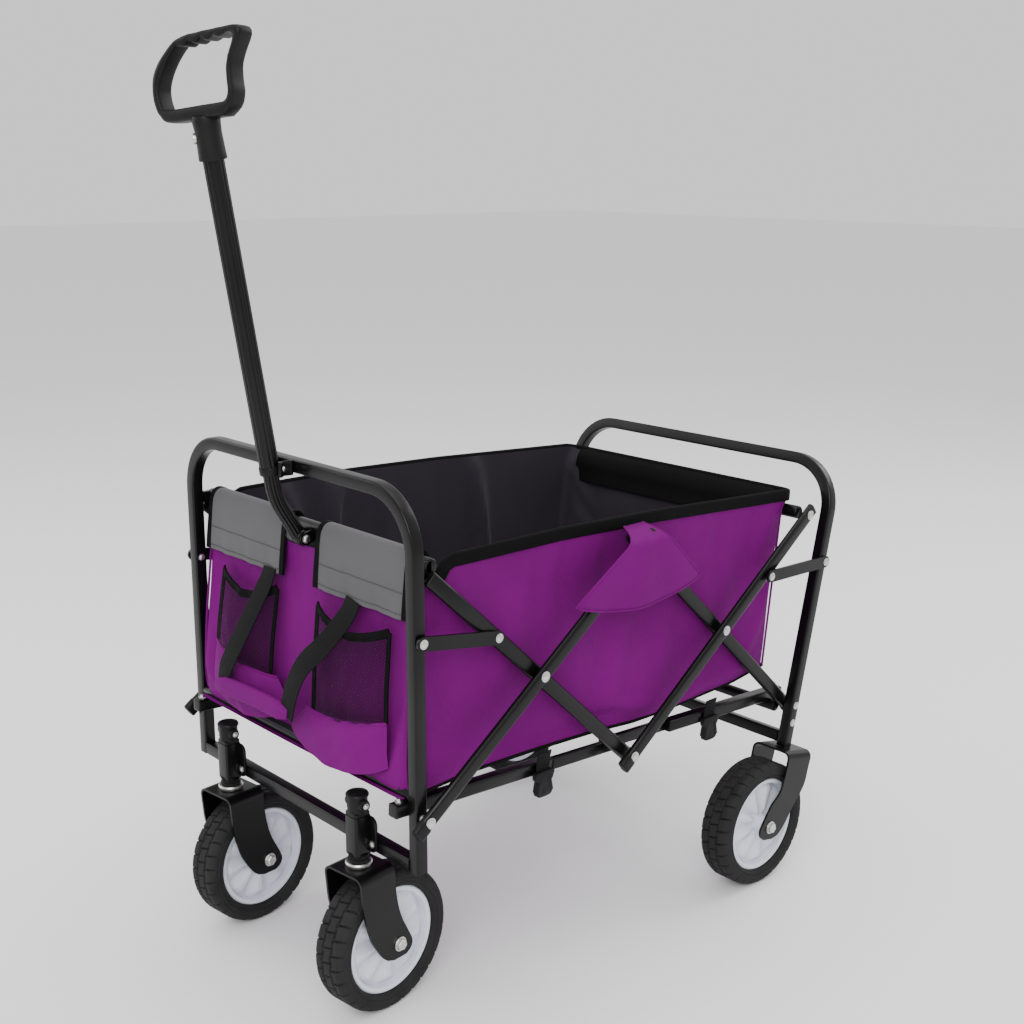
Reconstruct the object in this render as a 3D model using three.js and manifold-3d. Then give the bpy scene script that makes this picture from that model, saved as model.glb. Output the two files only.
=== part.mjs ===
// Folding utility wagon with a pull handle: two arched end frames, scissor bars on both sides,
// hinged floor rails, swivelling front casters, fixed rear forks and a hung fabric bag.
// Millimetres, +Z up, +X to the wagon's left side seen from behind, the pull handle towards -Y.
// The origin is on the ground, midway along and across the wagon.
import * as THREE from "three";
import { mergeVertices } from "three/addons/utils/BufferGeometryUtils.js";
import Module from "manifold-3d";

const wasm = await Module();
wasm.setup();

// Driving dimensions
const FRONT_LEG_Y = -318; // centre plane of the front frame
const TUBE = 16; // square tube of both end frames
const BEND = 68; // bend radius of the arches at the tube's centre line
const GAP = 0.3; // clearance between pieces that touch

const FRONT_HALF_WIDTH = 237;
const FRONT_BOTTOM = 213.3;
const FRONT_TOP = 660;
const REAR_HALF_WIDTH = 256.5;
const REAR_LEAN = THREE.MathUtils.degToRad(12.65);

const SLOPE = THREE.MathUtils.degToRad(3.3); // the scissor falls towards the rear
const PIVOT_HEIGHT = 282.3; // lowest front pivot of the scissor
const HALF_BAR = 218; // pivot to middle pivot of each scissor bar
const OPEN_ANGLE = THREE.MathUtils.degToRad(39.63); // bar angle when the wagon is open

const BAR_WIDTH = 19;
const BAR_THICKNESS = 9.5;
const INNER_BAR_X = 234.25; // middle plane of the inner bars
const OUTER_BAR_X = 247.25; // middle plane of the outer bars

const WHEEL_RADIUS = 89;
const WHEEL_WIDTH = 48;
const SWIVEL_X = 141;
const SWIVEL_Y = -19.6;
const FORK_TOP = 195.5;
const FORK_WIDTH = 64.3;
const FRONT_TRAIL = 33.9;
const REAR_TRAIL = 43.7;
const CASTER_TURN = THREE.MathUtils.degToRad(6);

const HANDLE_PIVOT_Y = 6;
const HANDLE_PIVOT_Z = 562;
const HANDLE_LEAN = THREE.MathUtils.degToRad(9.1);
const HANDLE_OFFSET = -22.4; // straight shaft in front of its pivot
const GRIP_HEIGHT = 495; // along the shaft from its pivot
const GRIP_TWIST = THREE.MathUtils.degToRad(16);
const GRIP_TILT = THREE.MathUtils.degToRad(10);
const GRIP_ROLL = THREE.MathUtils.degToRad(3);
const BAG_HALF_WIDTH = 214;
const CLOTH = 3;

// Materials
const look = (color, roughness, metalness = 0) =>
  new THREE.MeshStandardMaterial({ color, roughness, metalness });
const blackSteel = look(0x2c2c2e, 0.38, 0.5);
const blackPlastic = look(0x2a282c, 0.55);
const zinc = look(0xd0d0cc, 0.3, 0.9);
const tyreRubber = look(0x1d1c1e, 0.85);
const hubPlastic = look(0xd2d6e0, 0.45);
const purpleCloth = look(0x8c2a88, 0.9);
const meshCloth = look(0x2a1c2c, 0.9);

// Solids from three.js geometries, joined and cut
function solid(geometry) {
  const bare = geometry.clone();
  bare.deleteAttribute("normal");
  bare.deleteAttribute("uv");
  const merged = mergeVertices(bare, 1e-3);
  const mesh = new wasm.Mesh({
    numProp: 3,
    vertProperties: new Float32Array(merged.attributes.position.array),
    triVerts: new Uint32Array(merged.index.array),
  });
  return new wasm.Manifold(mesh);
}

function geometryOf(body) {
  const mesh = body.getMesh();
  const geometry = new THREE.BufferGeometry();
  geometry.setAttribute("position", new THREE.BufferAttribute(mesh.vertProperties, 3));
  geometry.setIndex(new THREE.BufferAttribute(mesh.triVerts, 1));
  geometry.computeVertexNormals();
  return geometry;
}

function fuse(pieces, cuts = []) {
  let body = solid(pieces[0]);
  for (const piece of pieces.slice(1)) body = body.add(solid(piece));
  for (const cut of cuts) body = body.subtract(solid(cut));
  return geometryOf(body);
}

// Primitive shapes
const box = (x, y, z, size) =>
  new THREE.BoxGeometry(size[0], size[1], size[2]).translate(x, y, z);

function rod(axis, radius, length, x, y, z, sides = 16) {
  const geometry = new THREE.CylinderGeometry(radius, radius, length, sides);
  if (axis === "x") geometry.rotateZ(Math.PI / 2);
  if (axis === "z") geometry.rotateX(Math.PI / 2);
  return geometry.translate(x, y, z);
}

// A plate cut from an outline, its thickness centred on the outline's plane
function plate(outline, thickness, bevel = 0, curveSegments = 3) {
  const geometry = new THREE.ExtrudeGeometry(outline, {
    depth: thickness - 2 * bevel,
    bevelEnabled: bevel > 0,
    bevelThickness: bevel,
    bevelSize: bevel,
    bevelOffset: -bevel,
    bevelSegments: 1,
    curveSegments,
  });
  return geometry.translate(0, 0, bevel - thickness / 2);
}

// Outlines drawn as (x, z) stand upright facing -Y; outlines drawn as (y, z) face +X
const facingFront = (geometry) => geometry.rotateX(Math.PI / 2);
const facingSide = (geometry) => geometry.rotateX(Math.PI / 2).rotateZ(Math.PI / 2);

function archOutline(halfWidth, bottom, top) {
  const outer = BEND + TUBE / 2;
  const inner = BEND - TUBE / 2;
  const bendX = halfWidth - outer;
  const bendZ = top - outer;
  const shape = new THREE.Shape();
  shape.moveTo(halfWidth, bottom);
  shape.absarc(bendX, bendZ, outer, 0, Math.PI / 2, false);
  shape.absarc(-bendX, bendZ, outer, Math.PI / 2, Math.PI, false);
  shape.lineTo(-halfWidth, bottom);
  shape.lineTo(-halfWidth + TUBE, bottom);
  shape.absarc(-bendX, bendZ, inner, Math.PI, Math.PI / 2, true);
  shape.absarc(bendX, bendZ, inner, Math.PI / 2, 0, true);
  shape.lineTo(halfWidth - TUBE, bottom);
  return shape;
}

function roundedPolygon(points, radius) {
  const shape = new THREE.Shape();
  const count = points.length;
  points.forEach((corner, i) => {
    const here = new THREE.Vector2(...corner);
    const before = new THREE.Vector2(...points[(i + count - 1) % count]).sub(here).setLength(radius);
    const after = new THREE.Vector2(...points[(i + 1) % count]).sub(here).setLength(radius);
    const start = here.clone().add(before);
    const end = here.clone().add(after);
    if (i === 0) shape.moveTo(start.x, start.y);
    else shape.lineTo(start.x, start.y);
    shape.quadraticCurveTo(here.x, here.y, end.x, end.y);
  });
  return shape;
}

// Flat-oval tube along +Y with a cap at each end
function ovalBar(length, thickness = BAR_THICKNESS, width = BAR_WIDTH) {
  const side = width / 2 - thickness / 2;
  const oval = new THREE.Shape();
  oval.absarc(0, side, thickness / 2, 0, Math.PI, false);
  oval.absarc(0, -side, thickness / 2, Math.PI, 2 * Math.PI, false);
  const geometry = new THREE.ExtrudeGeometry(oval, { depth: length, bevelEnabled: false, curveSegments: 4 });
  return geometry.rotateX(-Math.PI / 2);
}

const wagon = new THREE.Group();
wagon.position.y = FRONT_LEG_Y;

function part(group, name, geometry, material) {
  const mesh = new THREE.Mesh(geometry, material);
  mesh.name = name;
  group.add(mesh);
  return mesh;
}

const sides = [
  ["left", 1],
  ["right", -1],
];

// Point of the scissor plane, along and across its slope, in the wagon's own (y, z)
function scissorPoint(along, across) {
  return new THREE.Vector2(
    along * Math.cos(SLOPE) + across * Math.sin(SLOPE),
    PIVOT_HEIGHT - along * Math.sin(SLOPE) + across * Math.cos(SLOPE),
  );
}
const REACH = HALF_BAR * Math.cos(OPEN_ANGLE);
const RISE = HALF_BAR * Math.sin(OPEN_ANGLE);
const rearPivot = scissorPoint(4 * REACH, 0);

// Front frame: arch, lower beam between the legs and a round tube behind the arch
function buildFrontFrame() {
  const arch = facingFront(plate(archOutline(FRONT_HALF_WIDTH, FRONT_BOTTOM, FRONT_TOP), TUBE, 1.6, 5));
  part(wagon, "front_arch", arch, blackSteel);

  const beamLength = 2 * (FRONT_HALF_WIDTH - TUBE - GAP);
  part(wagon, "front_axle_beam", box(0, 0, FRONT_BOTTOM + TUBE / 2, [beamLength, TUBE, TUBE]), blackSteel);

  const tubeY = 24;
  const tubeZ = 570;
  const tube = [rod("x", 9.5, 456, 0, tubeY, tubeZ)];
  for (const [, sign] of sides) {
    tube.push(box(sign * 224.5, 16.3, tubeZ, [7, 16, 15]));
    tube.push(box(sign * 14.5, 12, 563.5, [3, 24, 11]));
    tube.push(rod("x", 8, 3, sign * 14.5, HANDLE_PIVOT_Y, HANDLE_PIVOT_Z));
  }
  part(wagon, "front_cross_tube", fuse(tube), blackSteel);
}

// Spring clip on the arch that holds the upright shaft
function buildHandleClip() {
  const centreZ = FRONT_TOP - 9;
  const face = -TUBE / 2 - GAP;
  const clip = [box(0, face - 1.5, centreZ, [40, 3, 18])];
  for (const [, sign] of sides) {
    clip.push(box(sign * 13.7, face - 14, centreZ, [3, 28, 18]));
    clip.push(box(sign * 15.7, face - 26.6, centreZ, [7, 3, 18]));
  }
  part(wagon, "handle_clip", fuse(clip), blackSteel);
}

// Lathe profiles turn about Z first, then lie along X
function turned(points, segments) {
  const profile = points.map(([radius, height]) => new THREE.Vector2(radius, height));
  profile.push(profile[0].clone());
  return new THREE.LatheGeometry(profile, segments);
}

function tyreGeometry() {
  const half = WHEEL_WIDTH / 2;
  const seat = 67.5;
  const profile = [
    [seat, -half + 5],
    [76, -half],
    [84, -half + 2],
    [WHEEL_RADIUS, -half + 9],
    [WHEEL_RADIUS, half - 9],
    [84, half - 2],
    [76, half],
    [seat, half - 5],
  ];
  return turned(profile, 30).rotateZ(Math.PI / 2);
}

function hubGeometry() {
  const bore = 5.4;
  const rim = 66.8;
  const profile = [
    [bore, -27],
    [14, -27],
    [17, -11],
    [58, -9],
    [rim, -18],
    [rim, 18],
    [58, 9],
    [17, 11],
    [14, 27],
    [bore, 27],
  ];
  return turned(profile, 20).rotateZ(Math.PI / 2);
}

// Hexagon bolt through both fork cheeks
function axleGeometry() {
  const halfFork = FORK_WIDTH / 2;
  const shaft = rod("x", 5, FORK_WIDTH + 6, 0, 0, 0, 16);
  const head = rod("x", 8, 5, halfFork + 3.5, 0, 0, 6);
  const nut = rod("x", 8, 5, -halfFork - 3.5, 0, 0, 6);
  return fuse([shaft, head, nut]);
}

function addWheel(group, name, y, z) {
  const wheel = new THREE.Group();
  wheel.position.set(0, y, z);
  group.add(wheel);
  part(wheel, `${name}_tyre`, tyreGeometry(), tyreRubber);
  part(wheel, `${name}_hub`, hubGeometry(), hubPlastic);
  part(wheel, `${name}_axle_bolt`, axleGeometry(), zinc);
}

// One cheek of a fork, from the top plate down to a rounded foot round the axle
function cheekOutline(trail, drop) {
  const foot = -drop - 16.5;
  const shape = new THREE.Shape();
  shape.moveTo(27.8, 0);
  shape.lineTo(-25, 0);
  shape.lineTo(-21, -0.4 * drop);
  shape.lineTo(trail - 43, -0.71 * drop);
  shape.lineTo(trail - 27, -drop - 1.5);
  shape.quadraticCurveTo(trail - 22, foot, trail - 10, foot);
  shape.lineTo(trail + 11, foot);
  shape.quadraticCurveTo(trail + 23, foot + 4, trail + 21, -drop + 5);
  shape.lineTo(trail + 6, -0.58 * drop);
  shape.lineTo(30, -0.29 * drop);
  return shape;
}

// Inverted-U fork, its top plate's upper face at z = 0, axle holes behind the stem
function forkGeometry(trail, drop) {
  const sheet = 3;
  const cheekX = FORK_WIDTH / 2 - sheet / 2;
  const pieces = [box(0, 1.4, -sheet / 2, [FORK_WIDTH, 52.8, sheet])];
  for (const [, sign] of sides) {
    pieces.push(facingSide(plate(cheekOutline(trail, drop), sheet)).translate(sign * cheekX, 0, 0));
  }
  return fuse(pieces, [rod("x", 5.4, FORK_WIDTH + 10, 0, trail, -drop, 16)]);
}

// Swivelling front caster: socket and tab on the beam, plug with cross bolt, fork, ring and wheel
function buildCaster([name, sign]) {
  const mast = new THREE.Group();
  mast.position.set(sign * SWIVEL_X, SWIVEL_Y, 0);
  wagon.add(mast);

  const socketTop = 260;
  const socketBottom = 211;
  const socketHeight = socketTop - socketBottom;
  const socketMiddle = (socketTop + socketBottom) / 2;
  const tab = roundedPolygon(
    [
      [-10, socketBottom + 2],
      [24, socketBottom + 2],
      [24, socketTop - 1],
      [-10, socketTop - 1],
    ],
    9,
  );
  const socket = fuse(
    [
      box(0, 0, socketMiddle, [22.5, 22, socketHeight]),
      facingFront(plate(tab, 3)).translate(0, 9.8, 0),
      rod("y", 4, 5, 17, 8, 224, 6),
    ],
    [rod("z", 6, socketHeight + 4, 0, 0, socketMiddle, 16)],
  );
  part(mast, `caster_socket_${name}`, socket, blackSteel);

  const plug = fuse([
    box(0, 0, 262.3, [21, 21, 4]),
    rod("z", 12, 24, 0, 0, 276, 20),
    rod("z", 13.5, 4, 0, 0, 286, 20),
    rod("x", 7, 33, 0, 0, 275, 16),
    rod("x", 3.6, 36, 0, 0, 275, 8),
  ]);
  part(mast, `caster_plug_${name}`, plug, blackPlastic);

  const swivel = new THREE.Group();
  swivel.rotation.z = CASTER_TURN;
  mast.add(swivel);
  const drop = FORK_TOP - WHEEL_RADIUS;
  part(swivel, `caster_fork_${name}`, forkGeometry(FRONT_TRAIL, drop).translate(0, 0, FORK_TOP), blackSteel);
  const stem = fuse([
    rod("z", 15, 7, 0, 0, FORK_TOP + 3.8, 24),
    rod("z", 12.5, 9, 0, 0, FORK_TOP + 10.6, 24),
    rod("z", 5.4, 60, 0, 0, 229.8, 16),
  ]);
  part(swivel, `caster_stem_${name}`, stem, zinc);
  addWheel(swivel, `front_${name}`, FRONT_TRAIL, WHEEL_RADIUS);
}

// Rear frame in its own leaning axes, origin at the lowest rear scissor pivot
function buildRearFrame() {
  const frame = new THREE.Group();
  frame.position.set(0, rearPivot.x, rearPivot.y);
  frame.rotation.x = -REAR_LEAN;
  wagon.add(frame);

  const legBottom = -61.2;
  const archTop = 357;
  const axleHeight = rearPivot.y - WHEEL_RADIUS + REAR_TRAIL * Math.sin(REAR_LEAN);
  const rearDrop = axleHeight / Math.cos(REAR_LEAN) + legBottom - GAP;
  const arch = facingFront(plate(archOutline(REAR_HALF_WIDTH, legBottom, archTop), TUBE, 1.6, 5));
  part(frame, "rear_arch", arch, blackSteel);

  const beamLength = 2 * (REAR_HALF_WIDTH - TUBE - GAP);
  part(frame, "rear_axle_beam", box(0, 0, -49, [beamLength, TUBE, TUBE]), blackSteel);

  const tubeY = -45.2;
  const tubeZ = 274.7;
  part(frame, "rear_cross_tube", rod("x", 9, 466, 0, tubeY, tubeZ), blackSteel);

  for (const [name, sign] of sides) {
    const corner = new THREE.Group();
    corner.position.set(sign * (REAR_HALF_WIDTH - TUBE / 2), 0, legBottom - GAP);
    frame.add(corner);
    const drop = rearDrop;
    const fork = forkGeometry(REAR_TRAIL, drop).rotateZ(Math.PI);
    part(corner, `rear_fork_${name}`, fork, blackSteel);
    addWheel(corner, `rear_${name}`, -REAR_TRAIL, -drop);
  }
}

// One scissor bar between two points of the side, with its rivets on the outside
function scissorBar(name, sign, x, from, to, before, after, rivets) {
  const direction = to.clone().sub(from);
  const length = direction.length();
  const angle = Math.atan2(direction.y, direction.x);
  const group = new THREE.Group();
  group.position.set(sign * x, from.x, from.y);
  group.rotation.x = angle;
  wagon.add(group);
  const pieces = [ovalBar(length + before + after).translate(0, -before, 0)];
  for (const [along, reachIn, reachOut] of rivets) {
    const half = BAR_THICKNESS / 2;
    const width = reachIn + reachOut + BAR_THICKNESS;
    const middle = (sign * (reachOut - reachIn)) / 2;
    const radius = reachIn > 0 ? 7 : 5.5;
    pieces.push(rod("x", radius, width - 0.2 * half, middle, along * length, 0, 8));
  }
  part(group, name, fuse(pieces), blackSteel);
}

function buildScissor([name, sign]) {
  const frontLow = scissorPoint(0, 0);
  const frontHigh = scissorPoint(0, 2 * RISE);
  const topMiddle = scissorPoint(2 * REACH, 2 * RISE);
  const bottomMiddle = scissorPoint(2 * REACH, 0);
  const rearHigh = scissorPoint(4 * REACH, 2 * RISE);
  const head = 2.5; // rivet head outside the bar
  const washer = 3; // spacer between crossing bars
  const legWasher = 4.6; // spacer between a bar and a leg
  scissorBar(`front_outer_bar_${name}`, sign, OUTER_BAR_X, frontLow, topMiddle, 18, 16, [
    [0, legWasher, head],
    [0.5, washer, head],
    [1, washer, head],
  ]);
  scissorBar(`front_inner_bar_${name}`, sign, INNER_BAR_X, frontHigh, bottomMiddle, 0.5, 16, [[0.295, 0, 0.1]]);
  scissorBar(`rear_inner_bar_${name}`, sign, INNER_BAR_X, topMiddle, rearPivot, 16, 16, [[0.5, head, 0.1]]);
  scissorBar(`rear_outer_bar_${name}`, sign, OUTER_BAR_X, bottomMiddle, rearHigh, 18, 12, [
    [0, washer, head],
    [0.5, washer, head],
    [0.737, 0, 4.6],
    [1, 0, head],
  ]);
}

// Short flat link that steadies a bar from the leg beside it
function linkGeometry(length, thickness, spacer, sign) {
  const half = 8;
  const shape = new THREE.Shape();
  shape.absarc(0, 0, half, Math.PI / 2, (3 * Math.PI) / 2, false);
  shape.absarc(length, 0, half, -Math.PI / 2, Math.PI / 2, false);
  const pieces = [facingSide(plate(shape, thickness))];
  pieces.push(rod("x", 6, thickness + spacer, (-sign * spacer) / 2, 0, 0, 8));
  for (const along of [0, length]) {
    pieces.push(rod("x", 5.5, thickness + 1.9, sign * 0.95, along, 0, 8));
  }
  return fuse(pieces);
}

function buildLinks([name, sign]) {
  const frontLeg = new THREE.Vector2(0, 490.5);
  const frontBar = new THREE.Vector2(110.2, 472.4);
  const front = new THREE.Group();
  front.position.set(sign * 240.8, frontLeg.x, frontLeg.y);
  front.rotation.x = Math.atan2(frontBar.y - frontLeg.y, frontBar.x - frontLeg.x);
  wagon.add(front);
  const frontLength = frontBar.distanceTo(frontLeg);
  part(front, `front_link_${name}`, linkGeometry(frontLength, 2.6, 2, sign), blackSteel);

  const rearLeg = new THREE.Vector2(717.4, 449.7);
  const rearBar = new THREE.Vector2(593.2, 452.6);
  const rear = new THREE.Group();
  rear.position.set(sign * 258.5, rearLeg.x, rearLeg.y);
  rear.rotation.x = Math.atan2(rearBar.y - rearLeg.y, rearBar.x - rearLeg.x);
  wagon.add(rear);
  const rearLength = rearBar.distanceTo(rearLeg);
  part(rear, `rear_link_${name}`, linkGeometry(rearLength, 2.6, 0.3, sign), blackSteel);
}

// Floor rails: a front and a rear U, each hinged on its cross bar, lapped at the middle
const RAIL_X = 213;
const RAIL_DROP = 15.5; // rail centre below the front bar
const RAIL_LIFT = 14.5; // rail centre above the rear bar
const railFront = new THREE.Vector2(0, 305); // hinge bar above the rails
const railRear = new THREE.Vector2(660, 238); // hinge bar under the rails

const railAngle = Math.atan2(
  railFront.y - RAIL_DROP - railRear.y - RAIL_LIFT,
  railRear.x - railFront.x,
);

function railHalf(sign, length, outer, height) {
  const lap = 110;
  const start = -22;
  const full = length - lap;
  const shift = sign * (outer ? TUBE / 4 + 0.2 : -TUBE / 4 - 0.2);
  const body = box(0, (full + start) / 2, height, [TUBE, full - start, TUBE]);
  const tongue = box(shift, (length + 14 + full - 2) / 2, height, [TUBE / 2 - 0.4, lap + 16, TUBE]);
  const bolt = rod("z", 4, 4, 0, -14, height + TUBE / 2 + 1, 6);
  return [body, tongue, bolt].map((piece) => piece.translate(sign * RAIL_X, 0, 0));
}

function railGroup(pivot) {
  const group = new THREE.Group();
  group.position.set(0, pivot.x, pivot.y);
  group.rotation.x = -railAngle;
  wagon.add(group);
  return group;
}

function buildRails() {
  const half = railFront.distanceTo(railRear) / 2;
  const frontPieces = [rod("x", 8, 2 * (FRONT_HALF_WIDTH - TUBE - GAP), 0, 0, 0, 12)];
  const rearPieces = [rod("x", 8, 457, 0, 0, 0, 12)];
  for (const [, sign] of sides) {
    frontPieces.push(...railHalf(sign, half, true, -RAIL_DROP));
    const mirrored = railHalf(-sign, half, false, RAIL_LIFT);
    rearPieces.push(...mirrored.map((piece) => piece.rotateZ(Math.PI)));
  }
  part(railGroup(railFront), "floor_rails_front", fuse(frontPieces), blackSteel);
  part(railGroup(railRear), "floor_rails_rear", fuse(rearPieces), blackSteel);
}

// Pull handle in its own leaning axes, origin at its pivot on the front cross tube
function buildHandle() {
  const handle = new THREE.Group();
  handle.position.set(0, HANDLE_PIVOT_Y, HANDLE_PIVOT_Z);
  handle.rotation.x = HANDLE_LEAN;
  wagon.add(handle);

  const bendZ = 58.7;
  const straightZ = 82.6;
  const innerRadius = 9.4;
  const route = new THREE.CurvePath();
  const at = (y, z) => new THREE.Vector3(0, y, z);
  route.add(new THREE.LineCurve3(at(0, 0), at(0.56 * HANDLE_OFFSET, 0.56 * bendZ)));
  route.add(
    new THREE.QuadraticBezierCurve3(
      at(0.56 * HANDLE_OFFSET, 0.56 * bendZ),
      at(HANDLE_OFFSET, bendZ),
      at(HANDLE_OFFSET, straightZ),
    ),
  );
  const section = new THREE.Shape();
  section.absarc(0, 0, innerRadius, 0, 2 * Math.PI, false);
  const bent = new THREE.ExtrudeGeometry(section, { steps: 6, extrudePath: route, curveSegments: 6 });
  const straight = rod("z", innerRadius, 300, 0, HANDLE_OFFSET, straightZ + 148, 12);
  const eye = rod("x", 9.4, 24, 0, 0, 0, 18);
  const lower = fuse([bent, straight, eye]);
  part(handle, "handle_lower_shaft", lower, blackSteel);

  const upperStart = 88;
  const upperEnd = 484;
  const bore = 9.9;
  const wall = 11.5;
  const tubeProfile = [
    [bore, upperStart],
    [wall, upperStart],
    [wall, upperEnd],
    [bore, upperEnd],
  ];
  const onShaft = (geometry) => geometry.rotateX(Math.PI / 2).translate(0, HANDLE_OFFSET, 0);
  part(handle, "handle_upper_tube", onShaft(turned(tubeProfile, 24)), blackSteel);

  const collarProfile = [
    [11.8, 448],
    [15.2, 448],
    [13.8, 483],
    [11.8, 483],
  ];
  const collar = onShaft(turned(collarProfile, 24));
  part(handle, "grip_collar", collar, blackPlastic);

  // D-shaped ring with finger scallops under its top bar, twisted and tipped back on the shaft
  const ring = new THREE.Shape();
  ring.moveTo(34, -7);
  ring.lineTo(-46, -6);
  ring.bezierCurveTo(-58, 0, -62, 10, -63, 24);
  ring.bezierCurveTo(-66, 48, -52, 60, -40, 67);
  ring.quadraticCurveTo(-28, 76, -17, 80);
  ring.lineTo(60, 81);
  ring.bezierCurveTo(72, 80, 67, 70, 60, 59);
  ring.bezierCurveTo(48, 42, 52, 30, 51, 16);
  ring.quadraticCurveTo(47, 0, 34, -7);
  const hole = new THREE.Path();
  hole.moveTo(38, 8);
  hole.quadraticCurveTo(44, 14, 45, 24);
  hole.bezierCurveTo(43, 44, 50, 56, 56, 66);
  hole.quadraticCurveTo(58, 73, 50, 75);
  const finger = 17;
  for (let i = 0; i < 4; i++) {
    const x = 50 - finger * i;
    hole.quadraticCurveTo(x - finger / 2, 66, x - finger, 74.5);
  }
  hole.bezierCurveTo(-34, 62, -52, 50, -54, 30);
  hole.quadraticCurveTo(-53, 12, -46, 8);
  hole.lineTo(38, 8);
  ring.holes.push(hole);
  const grip = facingFront(plate(ring, 23, 1, 4)).rotateY(-GRIP_ROLL).rotateX(-GRIP_TILT).rotateZ(GRIP_TWIST);
  grip.translate(0, HANDLE_OFFSET, GRIP_HEIGHT);
  part(handle, "handle_grip", grip, blackPlastic);
}

// Bag: thin panels hung between the frames, with two front pockets and a flap on each side
function buildBag() {
  const sideOutline = roundedPolygon(
    [
      [10, 303],
      [390, 291],
      [645, 298],
      [652, 510],
      [676, 534],
      [676, 545],
      [388, 563],
      [38, 571],
      [38, 550],
      [10, 540],
    ],
    3,
  );
  for (const [name, sign] of sides) {
    const panel = facingSide(plate(sideOutline, CLOTH)).translate(sign * (BAG_HALF_WIDTH + 4.5), 0, 0);
    part(wagon, `bag_side_${name}`, panel, purpleCloth);

    const flapOutline = roundedPolygon(
      [
        [212, 481],
        [438, 478],
        [350, 560],
        [317, 560],
      ],
      6,
    );
    const flap = facingSide(plate(flapOutline, CLOTH)).translate(sign * 259, 0, 0);
    part(wagon, `bag_flap_${name}`, flap, purpleCloth);

    const pocketOutline = roundedPolygon(
      [
        [32, 292],
        [190, 300],
        [192, 480],
        [40, 470],
      ],
      14,
    );
    const pocketHollow = roundedPolygon(
      [
        [35, 296],
        [186, 304],
        [188, 500],
        [44, 500],
      ],
      12,
    );
    const pocket = fuse([plate(pocketOutline, 19)], [plate(pocketHollow, 15)]);
    if (sign < 0) pocket.rotateY(Math.PI);
    part(wagon, `front_pocket_${name}`, facingFront(pocket).translate(0, -22.8, 0), meshCloth);
  }
  const width = 2 * BAG_HALF_WIDTH;
  part(wagon, "bag_front", box(0, -11.5, 430, [width, CLOTH, 228]), purpleCloth);

  const rear = new THREE.Group();
  rear.position.set(0, 643, 302);
  rear.rotation.x = -Math.atan2(36, 205);
  wagon.add(rear);
  part(rear, "bag_rear", box(0, 0, 104, [width, CLOTH, 208]), purpleCloth);

  const floor = new THREE.Group();
  floor.position.set(0, -4, 318);
  floor.rotation.x = -Math.atan2(30, 640);
  wagon.add(floor);
  part(floor, "bag_floor_mat", box(0, 320, 0, [width - 2, 626, 6]), purpleCloth);
}

buildFrontFrame();
buildHandleClip();
sides.forEach(buildCaster);
buildRearFrame();
sides.forEach(buildScissor);
sides.forEach(buildLinks);
buildRails();
buildHandle();
buildBag();

const model = new THREE.Group();
model.add(wagon);
export default model;
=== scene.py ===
import math
import bpy
import bmesh
import numpy as np
from mathutils import Matrix, Vector


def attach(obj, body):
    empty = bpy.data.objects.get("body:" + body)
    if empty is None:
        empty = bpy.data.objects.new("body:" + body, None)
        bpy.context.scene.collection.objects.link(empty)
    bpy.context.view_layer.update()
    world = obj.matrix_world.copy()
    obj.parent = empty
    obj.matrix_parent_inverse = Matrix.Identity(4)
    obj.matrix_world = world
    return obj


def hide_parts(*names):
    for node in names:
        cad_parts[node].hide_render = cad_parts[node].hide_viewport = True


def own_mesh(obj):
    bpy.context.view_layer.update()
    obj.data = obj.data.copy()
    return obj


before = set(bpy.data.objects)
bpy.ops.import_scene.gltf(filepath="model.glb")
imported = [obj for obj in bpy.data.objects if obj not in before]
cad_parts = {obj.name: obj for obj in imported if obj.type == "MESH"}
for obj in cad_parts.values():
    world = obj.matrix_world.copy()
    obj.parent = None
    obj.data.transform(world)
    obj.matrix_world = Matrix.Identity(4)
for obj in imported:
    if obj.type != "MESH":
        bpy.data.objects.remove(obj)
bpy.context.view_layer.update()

# Studio: a pale floor, a large soft key from the front left, a broad fill, a rim light behind, one
# overhead and a bright even sky. The camera stands off the front left corner, above the bag's rim.
FRONT = -0.318  # centre plane of the front frame


def at(x, y, z):
    """A point given in millimetres from the front frame's centre plane, in metres."""
    return Vector((x / 1000, y / 1000 + FRONT, z / 1000))


turn, rise, roll = (math.radians(a) for a in (47.39, 14.04, 0.22))
back = Vector((math.sin(turn) * math.cos(rise), -math.cos(turn) * math.cos(rise), math.sin(rise)))
level = Vector((math.cos(turn), math.sin(turn), 0))
upright = back.cross(level)
right = math.cos(roll) * level + math.sin(roll) * upright
up = math.cos(roll) * upright - math.sin(roll) * level
lens = bpy.data.cameras.new("camera")
lens.sensor_width, lens.lens = 36, 49.34
camera = bpy.data.objects.new("camera", lens)
bpy.context.scene.collection.objects.link(camera)
stand = Matrix.Translation((1.3666, -1.2224, 0.9988))
camera.matrix_world = stand @ Matrix((right, up, back)).transposed().to_4x4()
bpy.context.scene.camera = camera

for lamp, place, size, power in (
    ("key", (2.2, -2.4, 2.6), 2.0, 95),
    ("fill", (-2.6, -1.6, 1.8), 2.4, 32),
    ("rim", (0.6, 2.8, 2.4), 2.0, 45),
    ("top", (0.0, 0.0, 3.2), 2.4, 38),
):
    data = bpy.data.lights.new(lamp, "AREA")
    data.size, data.energy = size, power
    light = bpy.data.objects.new(lamp, data)
    bpy.context.scene.collection.objects.link(light)
    light.location = place
    light.rotation_euler = (Vector((0, 0, 0.45)) - Vector(place)).to_track_quat("-Z", "Y").to_euler()

sky = bpy.data.worlds.new("sky")
sky.use_nodes = True
sky.node_tree.nodes["Background"].inputs["Color"].default_value = (1, 1, 1, 1)
sky.node_tree.nodes["Background"].inputs["Strength"].default_value = 1.0
bpy.context.scene.world = sky


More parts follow.
